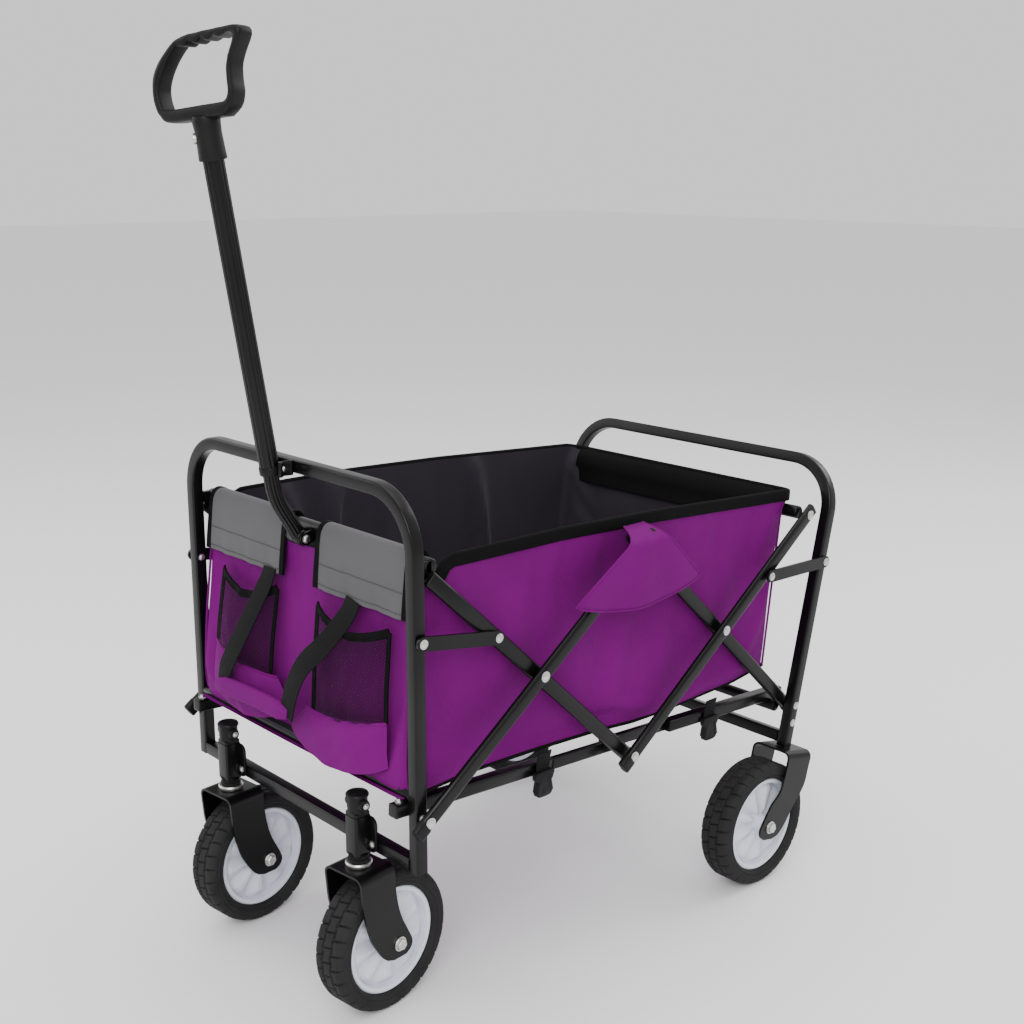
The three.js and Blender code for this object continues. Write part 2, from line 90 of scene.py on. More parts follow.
class Value:
    """A socket in a finish. Sums and products of values add Math nodes."""

    def __init__(self, finish, socket):
        self.finish, self.socket = finish, socket

    def _math(self, operation, *terms):
        return self.finish.node("ShaderNodeMath", {"operation": operation}, *terms)

    def __add__(self, other):
        return self._math("ADD", self, other)

    __radd__ = __add__

    def __mul__(self, other):
        return self._math("MULTIPLY", self, other)

    __rmul__ = __mul__

    def __sub__(self, other):
        return self._math("SUBTRACT", self, other)

    def __rsub__(self, other):
        return self._math("SUBTRACT", other, self)

    def __pow__(self, other):
        return self._math("POWER", self, other)

    def __gt__(self, other):
        return self._math("GREATER_THAN", self, other)

    def sine(self):
        return self._math("SINE", self)

    def size(self):
        return self._math("ABSOLUTE", self)

    def least(self, other):
        return self._math("MINIMUM", self, other)


class Finish:
    """A material: fixed values sit on its shader, varying ones come from nodes."""

    def __init__(self, name, colour, roughness, **fixed):
        self.material = bpy.data.materials.new(name)
        self.material.use_nodes = True
        self.tree = self.material.node_tree
        self.shader = self.tree.nodes["Principled BSDF"]
        self.shader.inputs["Base Color"].default_value = (*colour, 1)
        self.shader.inputs["Roughness"].default_value = roughness
        for key, value in fixed.items():
            self.shader.inputs[key.replace("_", " ")].default_value = value
        self.place = self.node("ShaderNodeTexCoord", {}, out="Object")

    def node(self, kind, settings, *inputs, out=0, **named):
        made = self.tree.nodes.new(kind)
        for key, value in settings.items():
            setattr(made, key, value)
        pairs = [(made.inputs[i], value) for i, value in enumerate(inputs)]
        pairs += [(made.inputs[key.replace("_", " ")], value) for key, value in named.items()]
        for socket, value in pairs:
            if isinstance(value, Value):
                self.tree.links.new(value.socket, socket)
            else:
                socket.default_value = value
        return Value(self, made.outputs[out])

    def along(self, x, y, z):
        """Distance along a direction in the piece's own axes."""
        settings = {"operation": "DOT_PRODUCT"}
        return self.node("ShaderNodeVectorMath", settings, self.place, (x, y, z), out="Value")

    def noise(self, scale, detail=3.0, stretch=(1, 1, 1)):
        place = self.node("ShaderNodeVectorMath", {"operation": "MULTIPLY"}, self.place, stretch)
        return self.node("ShaderNodeTexNoise", {}, Vector=place, Scale=scale, Detail=detail)

    def mix(self, amount, first, second):
        made = self.tree.nodes.new("ShaderNodeMix")
        made.data_type = "RGBA"
        self.tree.links.new(amount.socket, made.inputs[0])
        for socket, colour in ((made.inputs[6], first), (made.inputs[7], second)):
            if isinstance(colour, Value):
                self.tree.links.new(colour.socket, socket)
            else:
                socket.default_value = (*colour, 1)
        return Value(self, made.outputs[2])

    def drive(self, **sockets):
        for key, value in sockets.items():
            self.tree.links.new(value.socket, self.shader.inputs[key.replace("_", " ")])
        return self

    def raised(self, height, distance, strength=1.0):
        bump = self.node("ShaderNodeBump", {}, Strength=strength, Distance=distance, Height=height)
        return self.drive(Normal=bump)


floor_paint = Finish("floor_paint", (0.9, 0.9, 0.9), 0.6)
floor_paint.drive(Roughness=floor_paint.noise(3.0) * 0.1 + 0.55)
bpy.ops.mesh.primitive_plane_add(size=40)
floor = bpy.context.object
floor.name = "studio_floor"
floor.data.materials.append(floor_paint.material)

# Front frame: a square steel tube bent to an arch, a square beam welded between its legs and a
# round tube behind it, all in satin black powder coat with the fine skin such paint has.
powder_coat = Finish("powder_coat", (0.003, 0.003, 0.003), 0.26, Specular_IOR_Level=0.14,
    Coat_Roughness=0.14)
cloud = powder_coat.noise(18.0, 4.0)
skin = powder_coat.noise(900.0, 2.0)
powder_coat.drive(
    Base_Color=powder_coat.mix(cloud, (0.0015, 0.0015, 0.0016), (0.004, 0.004, 0.0042)),
    Roughness=cloud * 0.16 + 0.24,
    Coat_Weight=powder_coat.noise(6.0) * 0.3,
).raised(skin + cloud * 0.6, 0.00018, 0.5)


def piece(name, points, faces, finish, body, slot=None, replaced=(), smooth=35):
    """A mesh in metres that rides on a body; replaced CAD nodes are hidden."""
    mesh = bpy.data.meshes.new(name)
    mesh.from_pydata([tuple(p) for p in points], [], [tuple(f) for f in faces])
    mesh.validate()
    tidy = bmesh.new()
    tidy.from_mesh(mesh)
    bmesh.ops.recalc_face_normals(tidy, faces=tidy.faces)
    tidy.to_mesh(mesh)
    tidy.free()
    mesh.materials.append(finish.material)
    mesh.shade_smooth()
    mesh.set_sharp_from_angle(angle=math.radians(smooth))
    made = bpy.data.objects.new(name, mesh)
    bpy.context.scene.collection.objects.link(made)
    if body:
        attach(made, body)
    if replaced:
        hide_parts(*replaced)
    return made


def loft(rings, closed=False, caps=True):
    """Points and faces of a skin through rings that have one number of points each."""
    count = len(rings[0])
    points = [p for ring in rings for p in ring]
    faces = []
    last = len(rings) if closed else len(rings) - 1
    for i in range(last):
        low, high = i * count, (i + 1) % len(rings) * count
        faces += [(low + j, low + (j + 1) % count, high + (j + 1) % count, high + j) for j in range(count)]
    if caps and not closed:
        faces += [tuple(range(count))[::-1], tuple(range(len(points) - count, len(points)))]
    return points, faces


def joined(*solids):
    """Several (points, faces) as one."""
    points, faces = [], []
    for more, skin in solids:
        faces += [tuple(i + len(points) for i in face) for face in skin]
        points += list(more)
    return points, faces


def rounded(width, height, radius, steps=4):
    """Section of a rounded rectangle, in metres."""
    section = []
    for k in range(4):
        cx = (width / 2 - radius) * (1 if k in (0, 3) else -1)
        cy = (height / 2 - radius) * (1 if k < 2 else -1)
        for s in range(steps + 1):
            a = math.pi / 2 * (k + s / steps)
            section.append((cx + radius * math.cos(a), cy + radius * math.sin(a)))
    return section


def ring_section(radius, sides=24, grooves=0, depth=0.0):
    section = []
    for i in range(sides):
        a = 2 * math.pi * i / sides
        r = radius - depth * (0.5 - 0.5 * math.cos(grooves * a)) ** 3 if grooves else radius
        section.append((r * math.cos(a), r * math.sin(a)))
    return section


def sweep(path, section, normal, ease=0.0, closed=False):
    """A section carried along a path; its second axis stays near the normal. ease rounds the ends."""
    path = [Vector(p) for p in path]
    rings = []
    for i, here in enumerate(path):
        if closed:
            ahead, behind = path[(i + 1) % len(path)], path[i - 1]
        else:
            ahead, behind = path[min(i + 1, len(path) - 1)], path[max(i - 1, 0)]
        along = (ahead - behind).normalized()
        side = along.cross(Vector(normal)).normalized()
        top = side.cross(along).normalized()
        rings.append([here + side * u + top * v for u, v in section])
    if ease and not closed:
        for end, step in ((0, 1), (-1, -1)):
            centre = path[end]
            outward = (path[end] - path[end + step]).normalized()
            base = rings[end]
            lips = []
            for share, out in ((0.97, 0.35), (0.88, 0.7), (0.7, 0.95)):
                lips.append([centre + (p - centre) * share + outward * ease * out for p in base])
            rings = lips[::-1] + rings if end == 0 else rings + lips
    return loft(rings, closed)


def arch_path(half_width, bottom, top, radius, place, steps=14):
    """Centre line of an arch: up one leg, over and down the other."""
    path = [place(half_width, bottom)]
    for sign, start in ((1, 0), (-1, math.pi / 2)):
        cx = sign * (half_width - radius)
        for s in range(steps + 1):
            a = start + math.pi / 2 * s / steps
            path.append(place(cx + radius * math.cos(a), top - radius + radius * math.sin(a)))
    path.append(place(-half_width, bottom))
    return path


def turned(profile, place, axis=(1, 0, 0), sides=32):
    """A lathe solid: (radius, distance) pairs in millimetres about an axis through a place."""
    axis = Vector(axis).normalized()
    one = axis.orthogonal().normalized()
    two = axis.cross(one)
    rings = []
    for radius, distance in profile:
        centre = Vector(place) + axis * distance / 1000
        angles = [2 * math.pi * i / sides for i in range(sides)]
        r = max(radius, 0.01) / 1000
        rings.append([centre + one * r * math.cos(a) + two * r * math.sin(a) for a in angles])
    return loft(rings)


HALF_ARCH, BEND_RADIUS = 229, 68
BEAM_HALF, BEAM_Z = 220.6, 221.3
TUBE_Y, TUBE_Z = 24, 570
HANDLE_PIVOT = (6, 562)
LOW_PIVOT_Z, LINK_PIVOT_Z = 282.3, 490.5
square = rounded(0.016, 0.016, 0.0024)
arch = sweep(arch_path(HALF_ARCH, 213.6, 652, BEND_RADIUS, lambda x, z: at(x, 0, z)), square, (0, 1, 0))
piece("front_arch_tube", *arch, powder_coat, "root", "frame_black", ["front_arch"])
beam = sweep([at(x, 0, BEAM_Z) for x in (-BEAM_HALF, 0, BEAM_HALF)], square, (0, 1, 0))
piece("front_beam", *beam, powder_coat, "root", "frame_black", ["front_axle_beam"])

tube_ends = [at(-226, TUBE_Y, TUBE_Z), at(226, TUBE_Y, TUBE_Z)]
tube = [sweep(tube_ends, ring_section(0.0095), (0, 1, 0), 0.002)]
ear_outline = [(24, 571), (14, 571.5), (6, 570), (-1, 566), (-2, 561), (2, 555), (8, 554), (24, 560)]
for sign in (1, -1):
    bracket = rounded(0.016, 0.015, 0.002)
    bracket_ends = [at(sign * x, 16.3, TUBE_Z) for x in (221.2, 227.9)]
    tube.append(sweep(bracket_ends, bracket, (0, 0, 1)))
    ear = [at(sign * 14.5, y, z) for y, z in ear_outline]
    shift = Vector((0.0015, 0, 0))
    tube.append(loft([[p - shift for p in ear], [p + shift for p in ear]]))
piece("front_tube_and_ears", *joined(*tube), powder_coat, "root", "frame_black", ["front_cross_tube"])

# Rivets and bolts of zinc plated steel: domed heads pressed over a washer.
zinc = Finish("zinc_plate", (0.6, 0.6, 0.59), 0.3, Metallic=1.0)
rolled = zinc.noise(400.0, 3.0)
zinc.drive(
    Base_Color=zinc.mix(rolled, (0.42, 0.42, 0.41), (0.75, 0.75, 0.73)),
    Roughness=rolled * 0.25 + 0.22,
).raised(rolled, 0.0001, 0.4)
DOME = [(0, -0.6), (6.6, -0.6), (6.6, 0.5), (5.2, 0.7), (5.0, 1.5), (3.9, 2.3), (2.0, 2.7), (0, 2.8)]


def rivet(place, axis, scale=1.0):
    return turned([(r * scale, d) for r, d in DOME], place, axis, 24)


heads = []
for sign in (1, -1):
    heads.append(rivet(at(sign * 16, *HANDLE_PIVOT), (sign, 0, 0), 0.85))
    for z in (LOW_PIVOT_Z, LINK_PIVOT_Z):
        heads.append(rivet(at(sign * (HALF_ARCH + 8), 0, z), (sign, 0, 0), 0.8))
        heads.append(rivet(at(sign * (HALF_ARCH - 8), 0, z), (-sign, 0, 0), 0.7))
piece("front_frame_rivets", *joined(*heads), zinc, "root", "zinc_steel")

# Rear frame: the same coated square tube, wider and leaning back, with its beam welded between the
# legs and a round tube in front of them.
LEAN = math.radians(12.65)
LOW_REAR = (670.49, 243.64)
HALF_REAR = 248.5


def leaned(x, y, z):
    """A point in the rear frame's own leaning axes, from its lowest scissor pivot."""
    return at(
        x,
        LOW_REAR[0] + y * math.cos(LEAN) + z * math.sin(LEAN),
        LOW_REAR[1] - y * math.sin(LEAN) + z * math.cos(LEAN),
    )


rear_out = leaned(0, 1, 0) - leaned(0, 0, 0)
rear_path = arch_path(HALF_REAR, -61, 349, BEND_RADIUS, lambda x, z: leaned(x, 0, z))
arch = sweep(rear_path, square, rear_out)
piece("rear_arch_tube", *arch, powder_coat, "rear_frame", "frame_black", ["rear_arch"])
beam = sweep([leaned(-240, 0, -49), leaned(240, 0, -49)], square, rear_out)
piece("rear_beam", *beam, powder_coat, "rear_frame", "frame_black", ["rear_axle_beam"])
tube = sweep([leaned(-231, -45.2, 274.7), leaned(231, -45.2, 274.7)], ring_section(0.009), (0, 1, 0), 0.002)
piece("rear_tube", *tube, powder_coat, "rear_frame", "frame_black", ["rear_cross_tube"])
heads = []
for sign in (1, -1):
    for z in (0, -25.5):
        heads.append(rivet(leaned(sign * (HALF_REAR + 8), 0, z), (sign, 0, 0), 0.8))
        heads.append(rivet(leaned(sign * (HALF_REAR - 8), 0, z), (-sign, 0, 0), 0.7))
    heads.append(rivet(leaned(sign * (HALF_REAR - 8), 0, 211), (-sign, 0, 0), 0.7))
piece("rear_frame_rivets", *joined(*heads), zinc, "rear_frame", "zinc_steel")

# Scissor sides: flat-oval steel bars crossing in pairs, with plastic end caps, riveted at every
# crossing, and flat stay links from the legs. Each bar carries the rivets of its own pivots.
black_plastic = Finish("black_plastic", (0.004, 0.004, 0.004), 0.42, Specular_IOR_Level=0.15)
grain = black_plastic.noise(1400.0, 2.0)
shade = black_plastic.noise(30.0)
black_plastic.drive(
    Base_Color=black_plastic.mix(shade, (0.004, 0.004, 0.0045), (0.009, 0.009, 0.0095)),
    Roughness=shade * 0.15 + grain * 0.1 + 0.3,
).raised(grain, 0.0002, 0.5)

FRONT_LOW, FRONT_HIGH = (0, LOW_PIVOT_Z), (16.01, 559.94)
TOP_MIDDLE, LOW_MIDDLE = (351.25, 540.61), (335.24, 262.97)
REAR_HIGH = (686.49, 521.28)
OUTER_X, INNER_X = 247.25, 234.25  # middle planes of the two layers of bars
oval = rounded(0.0095, 0.019, 0.00473, 6)
cap_section = rounded(0.0111, 0.0206, 0.0055, 6)


def between(a, b, share):
    return tuple(a[k] + (b[k] - a[k]) * share for k in (0, 1))


def bar(body, node, sign, x, start, end, before, after, pivots, cap_start, cap_end):
    """One bar with its rivets, from start to end in the side's plane, and its end caps."""
    length = math.dist(start, end)
    first, last = between(start, end, -before / length), between(start, end, 1 + after / length)
    name = f"{node}_{'left' if sign > 0 else 'right'}"
    spots = [between(first, last, k / 6) for k in range(7)]
    steel = sweep([at(sign * x, *s) for s in spots], oval, (0, 0, 1), 0.001)
    piece(f"{name}_tube", *steel, powder_coat, body, "frame_black", [name])
    caps = []
    for used, tip, inner in ((cap_start, first, start), (cap_end, last, end)):
        if used:
            root = between(tip, inner, 12 / math.dist(tip, inner))
            out = between(tip, inner, -1.5 / math.dist(tip, inner))
            ends = [at(sign * x, *root), at(sign * x, *out)]
            caps.append(sweep(ends, cap_section, (0, 0, 1), 0.002))
    if caps:
        piece(f"{name}_caps", *joined(*caps), black_plastic, body, "plastic_black")
    heads = []
    for share, side in pivots:
        spot = at(sign * (x + side * 4.8), *between(start, end, share))
        heads.append(rivet(spot, (sign * side, 0, 0)))
    if heads:
        piece(f"{name}_rivets", *joined(*heads), zinc, body, "zinc_steel")


for sign in (1, -1):
    bar("front_outer_bars", "front_outer_bar", sign, OUTER_X, FRONT_LOW, TOP_MIDDLE, 18, 16,
        [(0, 1), (0.5, 1), (1, 1)], True, True)
    bar("front_inner_bars", "front_inner_bar", sign, INNER_X, FRONT_HIGH, LOW_MIDDLE, 0.5, 16,
        [(0.5, -1), (1, -1)], False, True)
    bar("rear_inner_bars", "rear_inner_bar", sign, INNER_X, TOP_MIDDLE, LOW_REAR, 16, 16,
        [(0, -1), (0.5, -1)], True, True)
    bar("rear_outer_bars", "rear_outer_bar", sign, OUTER_X, LOW_MIDDLE, REAR_HIGH, 18, 12,
        [(0, 1), (0.5, 1), (1, 1)], True, False)


def link(name, body, x, start, end, thickness):
    """Flat stay with round ends and a rivet at each."""
    angle = math.atan2(end[1] - start[1], end[0] - start[0])
    edge = []
    for centre, first in ((start, math.pi / 2), (end, -math.pi / 2)):
        for s in range(13):
            a = angle + first + math.pi * s / 12
            edge.append((centre[0] + 8.3 * math.cos(a), centre[1] + 8.3 * math.sin(a)))
    middle = between(start, end, 0.5)
    trimmed = [between(e, middle, 0.012) for e in edge]
    half = thickness / 2
    rings = [[at(x - half, *e) for e in trimmed], [at(x - half + 0.6, *e) for e in edge]]
    rings += [[at(x + half - 0.6, *e) for e in edge], [at(x + half, *e) for e in trimmed]]
    piece(f"{name}_plate", *loft(rings), powder_coat, body, "frame_black", [name])
    outward = math.copysign(1, x)
    spots = [at(x + outward * half, *e) for e in (start, end)]
    heads = [rivet(spot, (outward, 0, 0), 0.85) for spot in spots]
    piece(f"{name}_rivets", *joined(*heads), zinc, body, "zinc_steel")


for side, sign in (("left", 1), ("right", -1)):
    link(f"front_link_{side}", "front_links", sign * 241.5, (0, LINK_PIVOT_Z), (110.2, 472.4), 4)
    link(f"rear_link_{side}", "rear_links", sign * 259, (717.4, 449.7), (593.2, 452.6), 3.6)

# Floor rails: square tubes hinged on a round bar at each end and lapped at the middle, each bar
# bolted through the rail's end.
RAIL_FRONT, RAIL_REAR = (0, 305), (660, 238)
RAIL_ANGLE = math.atan2(RAIL_FRONT[1] - 15.5 - RAIL_REAR[1] - 14.5, 660)
HALF_RAIL = math.dist(RAIL_FRONT, RAIL_REAR) / 2
RAIL_X, LAP_SHIFT = 213, 4.2


def on_rail(pivot, direction, x, along, height):
    c, s = math.cos(RAIL_ANGLE), math.sin(RAIL_ANGLE)
    y = direction * along
    return at(x, pivot[0] + y * c + height * s, pivot[1] - y * s + height * c)


rail_half = rounded(0.0076, 0.016, 0.002)
for name, body, pivot, direction, height, reach in (
    ("floor_rails_front", "rails_front", RAIL_FRONT, 1, -15.5, 220.7),
    ("floor_rails_rear", "rails_rear", RAIL_REAR, -1, 14.5, 228.4),
):
    parts = [sweep([at(-reach, *pivot), at(reach, *pivot)], ring_section(0.008), (0, 1, 0), 0.0015)]
    bolts = []
    for sign in (1, -1):
        spot = lambda along, x=RAIL_X: on_rail(pivot, direction, sign * x, along, height)
        parts.append(sweep([spot(-22), spot(HALF_RAIL - 110)], square, (0, 0, 1), 0.001))
        lap = RAIL_X + direction * LAP_SHIFT
        ends = [spot(HALF_RAIL - 112, lap), spot(HALF_RAIL + 13, lap)]
        parts.append(sweep(ends, rail_half, (0, 0, 1), 0.001))
        top = on_rail(pivot, direction, sign * RAIL_X, -14, height + 8)
        bolts.append(turned([(0, 0), (5, 0), (5, 2.5), (3, 3), (3, 5.5), (0, 5.6)], top, (0, 0, 1), 6))
    piece(f"{name}_tubes", *joined(*parts), powder_coat, body, "frame_black", [name])
    piece(f"{name}_bolts", *joined(*bolts), zinc, body, "zinc_steel")

# Casters: a square socket with a rounded tab on the beam, a plastic plug with a cross bolt on top,
# and a pressed steel fork on a zinc bearing ring. The rear forks are the same pressing, welded on.
CASTER_X, CASTER_Y = 141, -19.6
CASTER_TOP, TRAIL, AXLE_Z = 195.5, 33.9, 89  # the wheels' radius is their axles' height
SHEET_HALF = 1.5  # half the thickness of the pressed steel


def smooth_line(corners, steps=6):
    """Points on a Catmull-Rom curve through 2D corners."""
    out = []
    for i in range(len(corners) - 1):
        p = [np.array(corners[min(max(k, 0), len(corners) - 1)], float) for k in range(i - 1, i + 3)]
        for s in range(steps):
            t = s / steps
            a = 2 * p[1] + (p[2] - p[0]) * t
            b = (2 * p[0] - 5 * p[1] + 4 * p[2] - p[3]) * t * t
            out.append((a + b + (3 * p[1] - p[0] - 3 * p[2] + p[3]) * t ** 3) / 2)
    return np.array(out + [corners[-1]], float)


def fork(trail, drop, place):
    """A sheet folded to a U over the wheel: its edges narrow and round off round the axle."""
    down = drop + 16.5
    front = [(0, -26), (0.2, -24), (0.4, -21), (0.66, trail - 46), (0.8, trail - 37)]
    front += [(0.9, trail - 29), (0.97, trail - 20), (1, trail - 9)]
    rear = [(0, 27.8), (0.25, 29), (0.45, 33), (0.6, trail + 5), (0.75, trail + 14)]
    rear += [(0.88, trail + 21), (0.96, trail + 18), (1, trail + 10)]
    front = smooth_line([(h * down, y) for h, y in front])
    rear = smooth_line([(h * down, y) for h, y in rear])
    bend, half = 9, 30.65
    flat = half - bend
    rows = []
    for s in np.linspace(0, 1, 8):
        rows.append((flat * s, 0))
    for s in np.linspace(0, math.pi / 2, 8)[1:]:
        rows.append((flat + bend * math.sin(s), bend - bend * math.cos(s)))
    for h in np.linspace(bend, down, 30)[1:]:
        rows.append((half, h))
    rows = [(-x, h) for x, h in rows[:0:-1]] + rows
    outer, inner = [], []
    for x, h in rows:
        low = np.interp(h, front[:, 0], front[:, 1])
        high = np.interp(h, rear[:, 0], rear[:, 1])
        tilt = min(max((abs(x) - flat) / bend, 0), 1) * math.pi / 2 if h < bend else math.pi / 2
        nx, nz = math.copysign(math.sin(tilt), x), math.cos(tilt)
        across = low + (high - low) * (0.5 - 0.5 * np.cos(np.linspace(0, math.pi, 15)))
        for skin_rows, way in ((outer, SHEET_HALF), (inner, -SHEET_HALF)):
            skin_rows.append([(x + nx * way, y, -SHEET_HALF - h + nz * way) for y in across])
    rings = [o + i[::-1] for o, i in zip(outer, inner)]
    points, faces = loft(rings)
    return [place(*p) for p in points], faces


def caster_axes(sign, angle=6):
    """Places in a front caster's own axes, which are turned a little about its stem."""
    c, s = math.cos(math.radians(angle)), math.sin(math.radians(angle))
    return lambda x, y, z: at(sign * CASTER_X + x * c - y * s, CASTER_Y + x * s + y * c, z)


for side, sign in (("left", 1), ("right", -1)):
    mast = lambda x, y, z: at(sign * CASTER_X + x, CASTER_Y + y, z)
    shell = [sweep([mast(0, 0, 211.4), mast(0, 0, 259.8)], rounded(0.0225, 0.0225, 0.003), (0, 1, 0),
        0.0006)]
    tab = []
    for cx, cz, start in ((14, 223, -90), (14, 249, 0), (0, 249, 90), (0, 223, 180)):
        for s in range(7):
            a = math.radians(start + 15 * s)
            tab.append((cx + 9.5 * math.cos(a), cz + 9.5 * math.sin(a)))
    edge = lambda y, k: [mast(7 + (x - 7) * k, y, 236 + (z - 236) * k) for x, z in tab]
    shell.append(loft([edge(8.3, 0.97), edge(8.7, 1), edge(10.9, 1), edge(11.3, 0.97)]))
    weld = [mast(12.5 * math.cos(a), 11.9 * math.sin(a), 212) for a in np.linspace(0, 2 * math.pi, 41)[:-1]]
    shell.append(sweep(weld, ring_section(0.0012, 8), (0, 0, 1), closed=True))
    piece(f"caster_socket_{side}_steel", *joined(*shell), powder_coat, "root", "frame_black",
        [f"caster_socket_{side}"])
    piece(f"caster_tab_bolt_{side}", *rivet(mast(15, 8.2, 224), (0, -1, 0), 0.75), zinc, "root",
        "zinc_steel")

    plug = [sweep([mast(0, 0, 260.6), mast(0, 0, 264)], rounded(0.0215, 0.0215, 0.003), (0, 1, 0), 0.0012)]
    cap = [(0, 0), (11.8, 0), (12.2, 2), (11.6, 4), (12.2, 6), (12.2, 19), (13.6, 20)]
    cap += [(13.8, 22), (12.8, 23.6), (9, 24.2), (8.6, 23), (0, 22.8)]
    plug.append(turned(cap, mast(0, 0, 264), (0, 0, 1), 40))
    side_ear = [(0, 8), (7.2, 8), (7.4, 14), (6.4, 16), (4.4, 16.4), (0, 16.4)]
    for way in (1, -1):
        plug.append(turned(side_ear, mast(0, 0, 275), (way, 0, 0), 24))
    piece(f"caster_plug_{side}_cap", *joined(*plug), black_plastic, "root", "plastic_black",
        [f"caster_plug_{side}"])
    bolts = [rivet(mast(way * 16.4, 0, 275), (way, 0, 0), 0.55) for way in (1, -1)]
    piece(f"caster_plug_{side}_bolt", *joined(*bolts), zinc, "root", "zinc_steel")

    swivel = caster_axes(sign)
    body = f"caster_{side}"
    pressing = fork(TRAIL, CASTER_TOP - AXLE_Z, lambda x, y, z: swivel(x, y, CASTER_TOP + z))
    piece(f"caster_fork_{side}_pressing", *pressing, powder_coat, body, "frame_black",
        [f"caster_fork_{side}"])
    seat = swivel(0, 0, CASTER_TOP)
    profile = [(0, 0.4), (15.5, 0.4), (16.2, 2), (16.2, 4.6), (15, 6.2), (13, 6.6), (0, 6.6)]
    ring = turned(profile, seat, (0, 0, 1), 40)
    piece(f"caster_ring_{side}", *ring, zinc, body, "zinc_steel", [f"caster_stem_{side}"])
    profile = [(0, 7), (13, 7), (13.4, 8.4), (13, 10), (11.8, 10.6), (12.2, 14.6), (0, 14.8)]
    washer = turned(profile, seat, (0, 0, 1), 32)
    piece(f"caster_washer_{side}", *washer, black_plastic, body, "plastic_black")

    corner = lambda x, y, z: leaned(sign * HALF_REAR - x, -y, -61.5 + z)
    pressing = fork(43.7, 106.7, corner)
    piece(f"rear_fork_{side}_pressing", *pressing, powder_coat, "rear_frame", "frame_black",
        [f"rear_fork_{side}"])

# Wheels: a rubber tyre with hexagon tread blocks and lugs on its shoulders over a moulded hub disc
# whose nine wedge-shaped facets run from the boss to the rim. The same mould makes all four.
rubber = Finish("tyre_rubber", (0.006, 0.006, 0.006), 0.72, Specular_IOR_Level=0.12)
dust = rubber.noise(45.0, 5.0)
fleck = rubber.noise(1100.0, 2.0)
rubber.drive(
    Base_Color=rubber.mix(dust, (0.009, 0.009, 0.01), (0.028, 0.027, 0.027)),
    Roughness=dust * 0.22 + 0.58,
).raised(fleck + dust * 0.5, 0.0003, 0.6)
hub_plastic = Finish("hub_plastic", (0.66, 0.68, 0.76), 0.38, Subsurface_Weight=0.04)
haze = hub_plastic.noise(25.0, 4.0)
speck = hub_plastic.noise(900.0, 2.0)
hub_plastic.drive(
    Base_Color=hub_plastic.mix(haze, (0.58, 0.6, 0.7), (0.74, 0.76, 0.83)),
    Roughness=haze * 0.15 + speck * 0.08 + 0.28,
).raised(speck, 0.00015, 0.4)

LUGS, AROUND = 30, 480
section = [(67, 0), (67, 19), (69.5, 22.4), (72, 23.6), (72.8, 23.0), (74, 23.0), (74.8, 23.8), (77, 24)]
section += [(78.2, 23.3), (79.6, 23.2), (81, 23.6), (82.6, 23), (84.4, 22.4), (86.2, 21), (87.6, 19.2)]
section += [(88.5, 17)] + [(AXLE_Z, x) for x in np.linspace(15.5, 0, 14)]
section = section + [(r, -x) for r, x in section[::-1][1:-1]]
rings = []
for i in range(AROUND):
    a = 2 * math.pi * i / AROUND
    turn_share = i / AROUND * LUGS
    ring = []
    for r, x in section:
        cut = 0.0
        if r > 81.5:
            row = 0 if abs(x) < 7 else 1
            phase = turn_share + (0.5 if row else 0)
            zig = 1.6 * abs(2 * (turn_share % 1) - 1)
            seam = abs(abs(x) - 6.4 - zig)
            across = abs((phase + 0.012 * x) % 1 - 0.5) * 18.6
            groove = min(seam, abs(9.3 - across) if row else abs(9.3 - across) + 0.2)
            cut = 2.6 * max(0.0, 1 - max(groove - 0.55, 0) / 0.75)
            if r < 88.6:
                cut *= min(1.0, (r - 81.5) / 3)
        ring.append(((r - cut) * math.cos(a), (r - cut) * math.sin(a), x))
    rings.append([Vector((z, p, q)) / 1000 for p, q, z in ring])
tyre_skin = loft(rings, closed=True)

FACETS, HUB_AROUND = 9, 216
radii = [5.2, 6, 12.4, 13.2, 14.4, 16, 18, 22, 28, 34, 40, 46, 51, 55, 57.5, 59, 60.4, 62, 65.4]
radii += [66.4, 66.8]


def hub_face(r, share):
    """How far the hub's face stands out from the wheel's middle plane."""
    if r <= 12.4:
        return 26.4
    if r <= 13.2:
        return 25.4
    if r >= 60.4:
        return 17.4 + (0.8 if 62 <= r <= 65.4 else -0.4 if r > 66 else 0.2)
    wedge = 1 - abs(2 * (share % 1) - 1)
    rise = min(1.0, (59.5 - r) / 7) * min(1.0, (r - 13) / 6)
    facet = 9.6 * min(wedge * 1.25, 1.0) ** 1.2 * max(rise, 0) * (0.62 + 0.38 * (59.5 - r) / 46)
    return 7.2 + facet + (max(0.0, 17.5 - r) * 1.2)


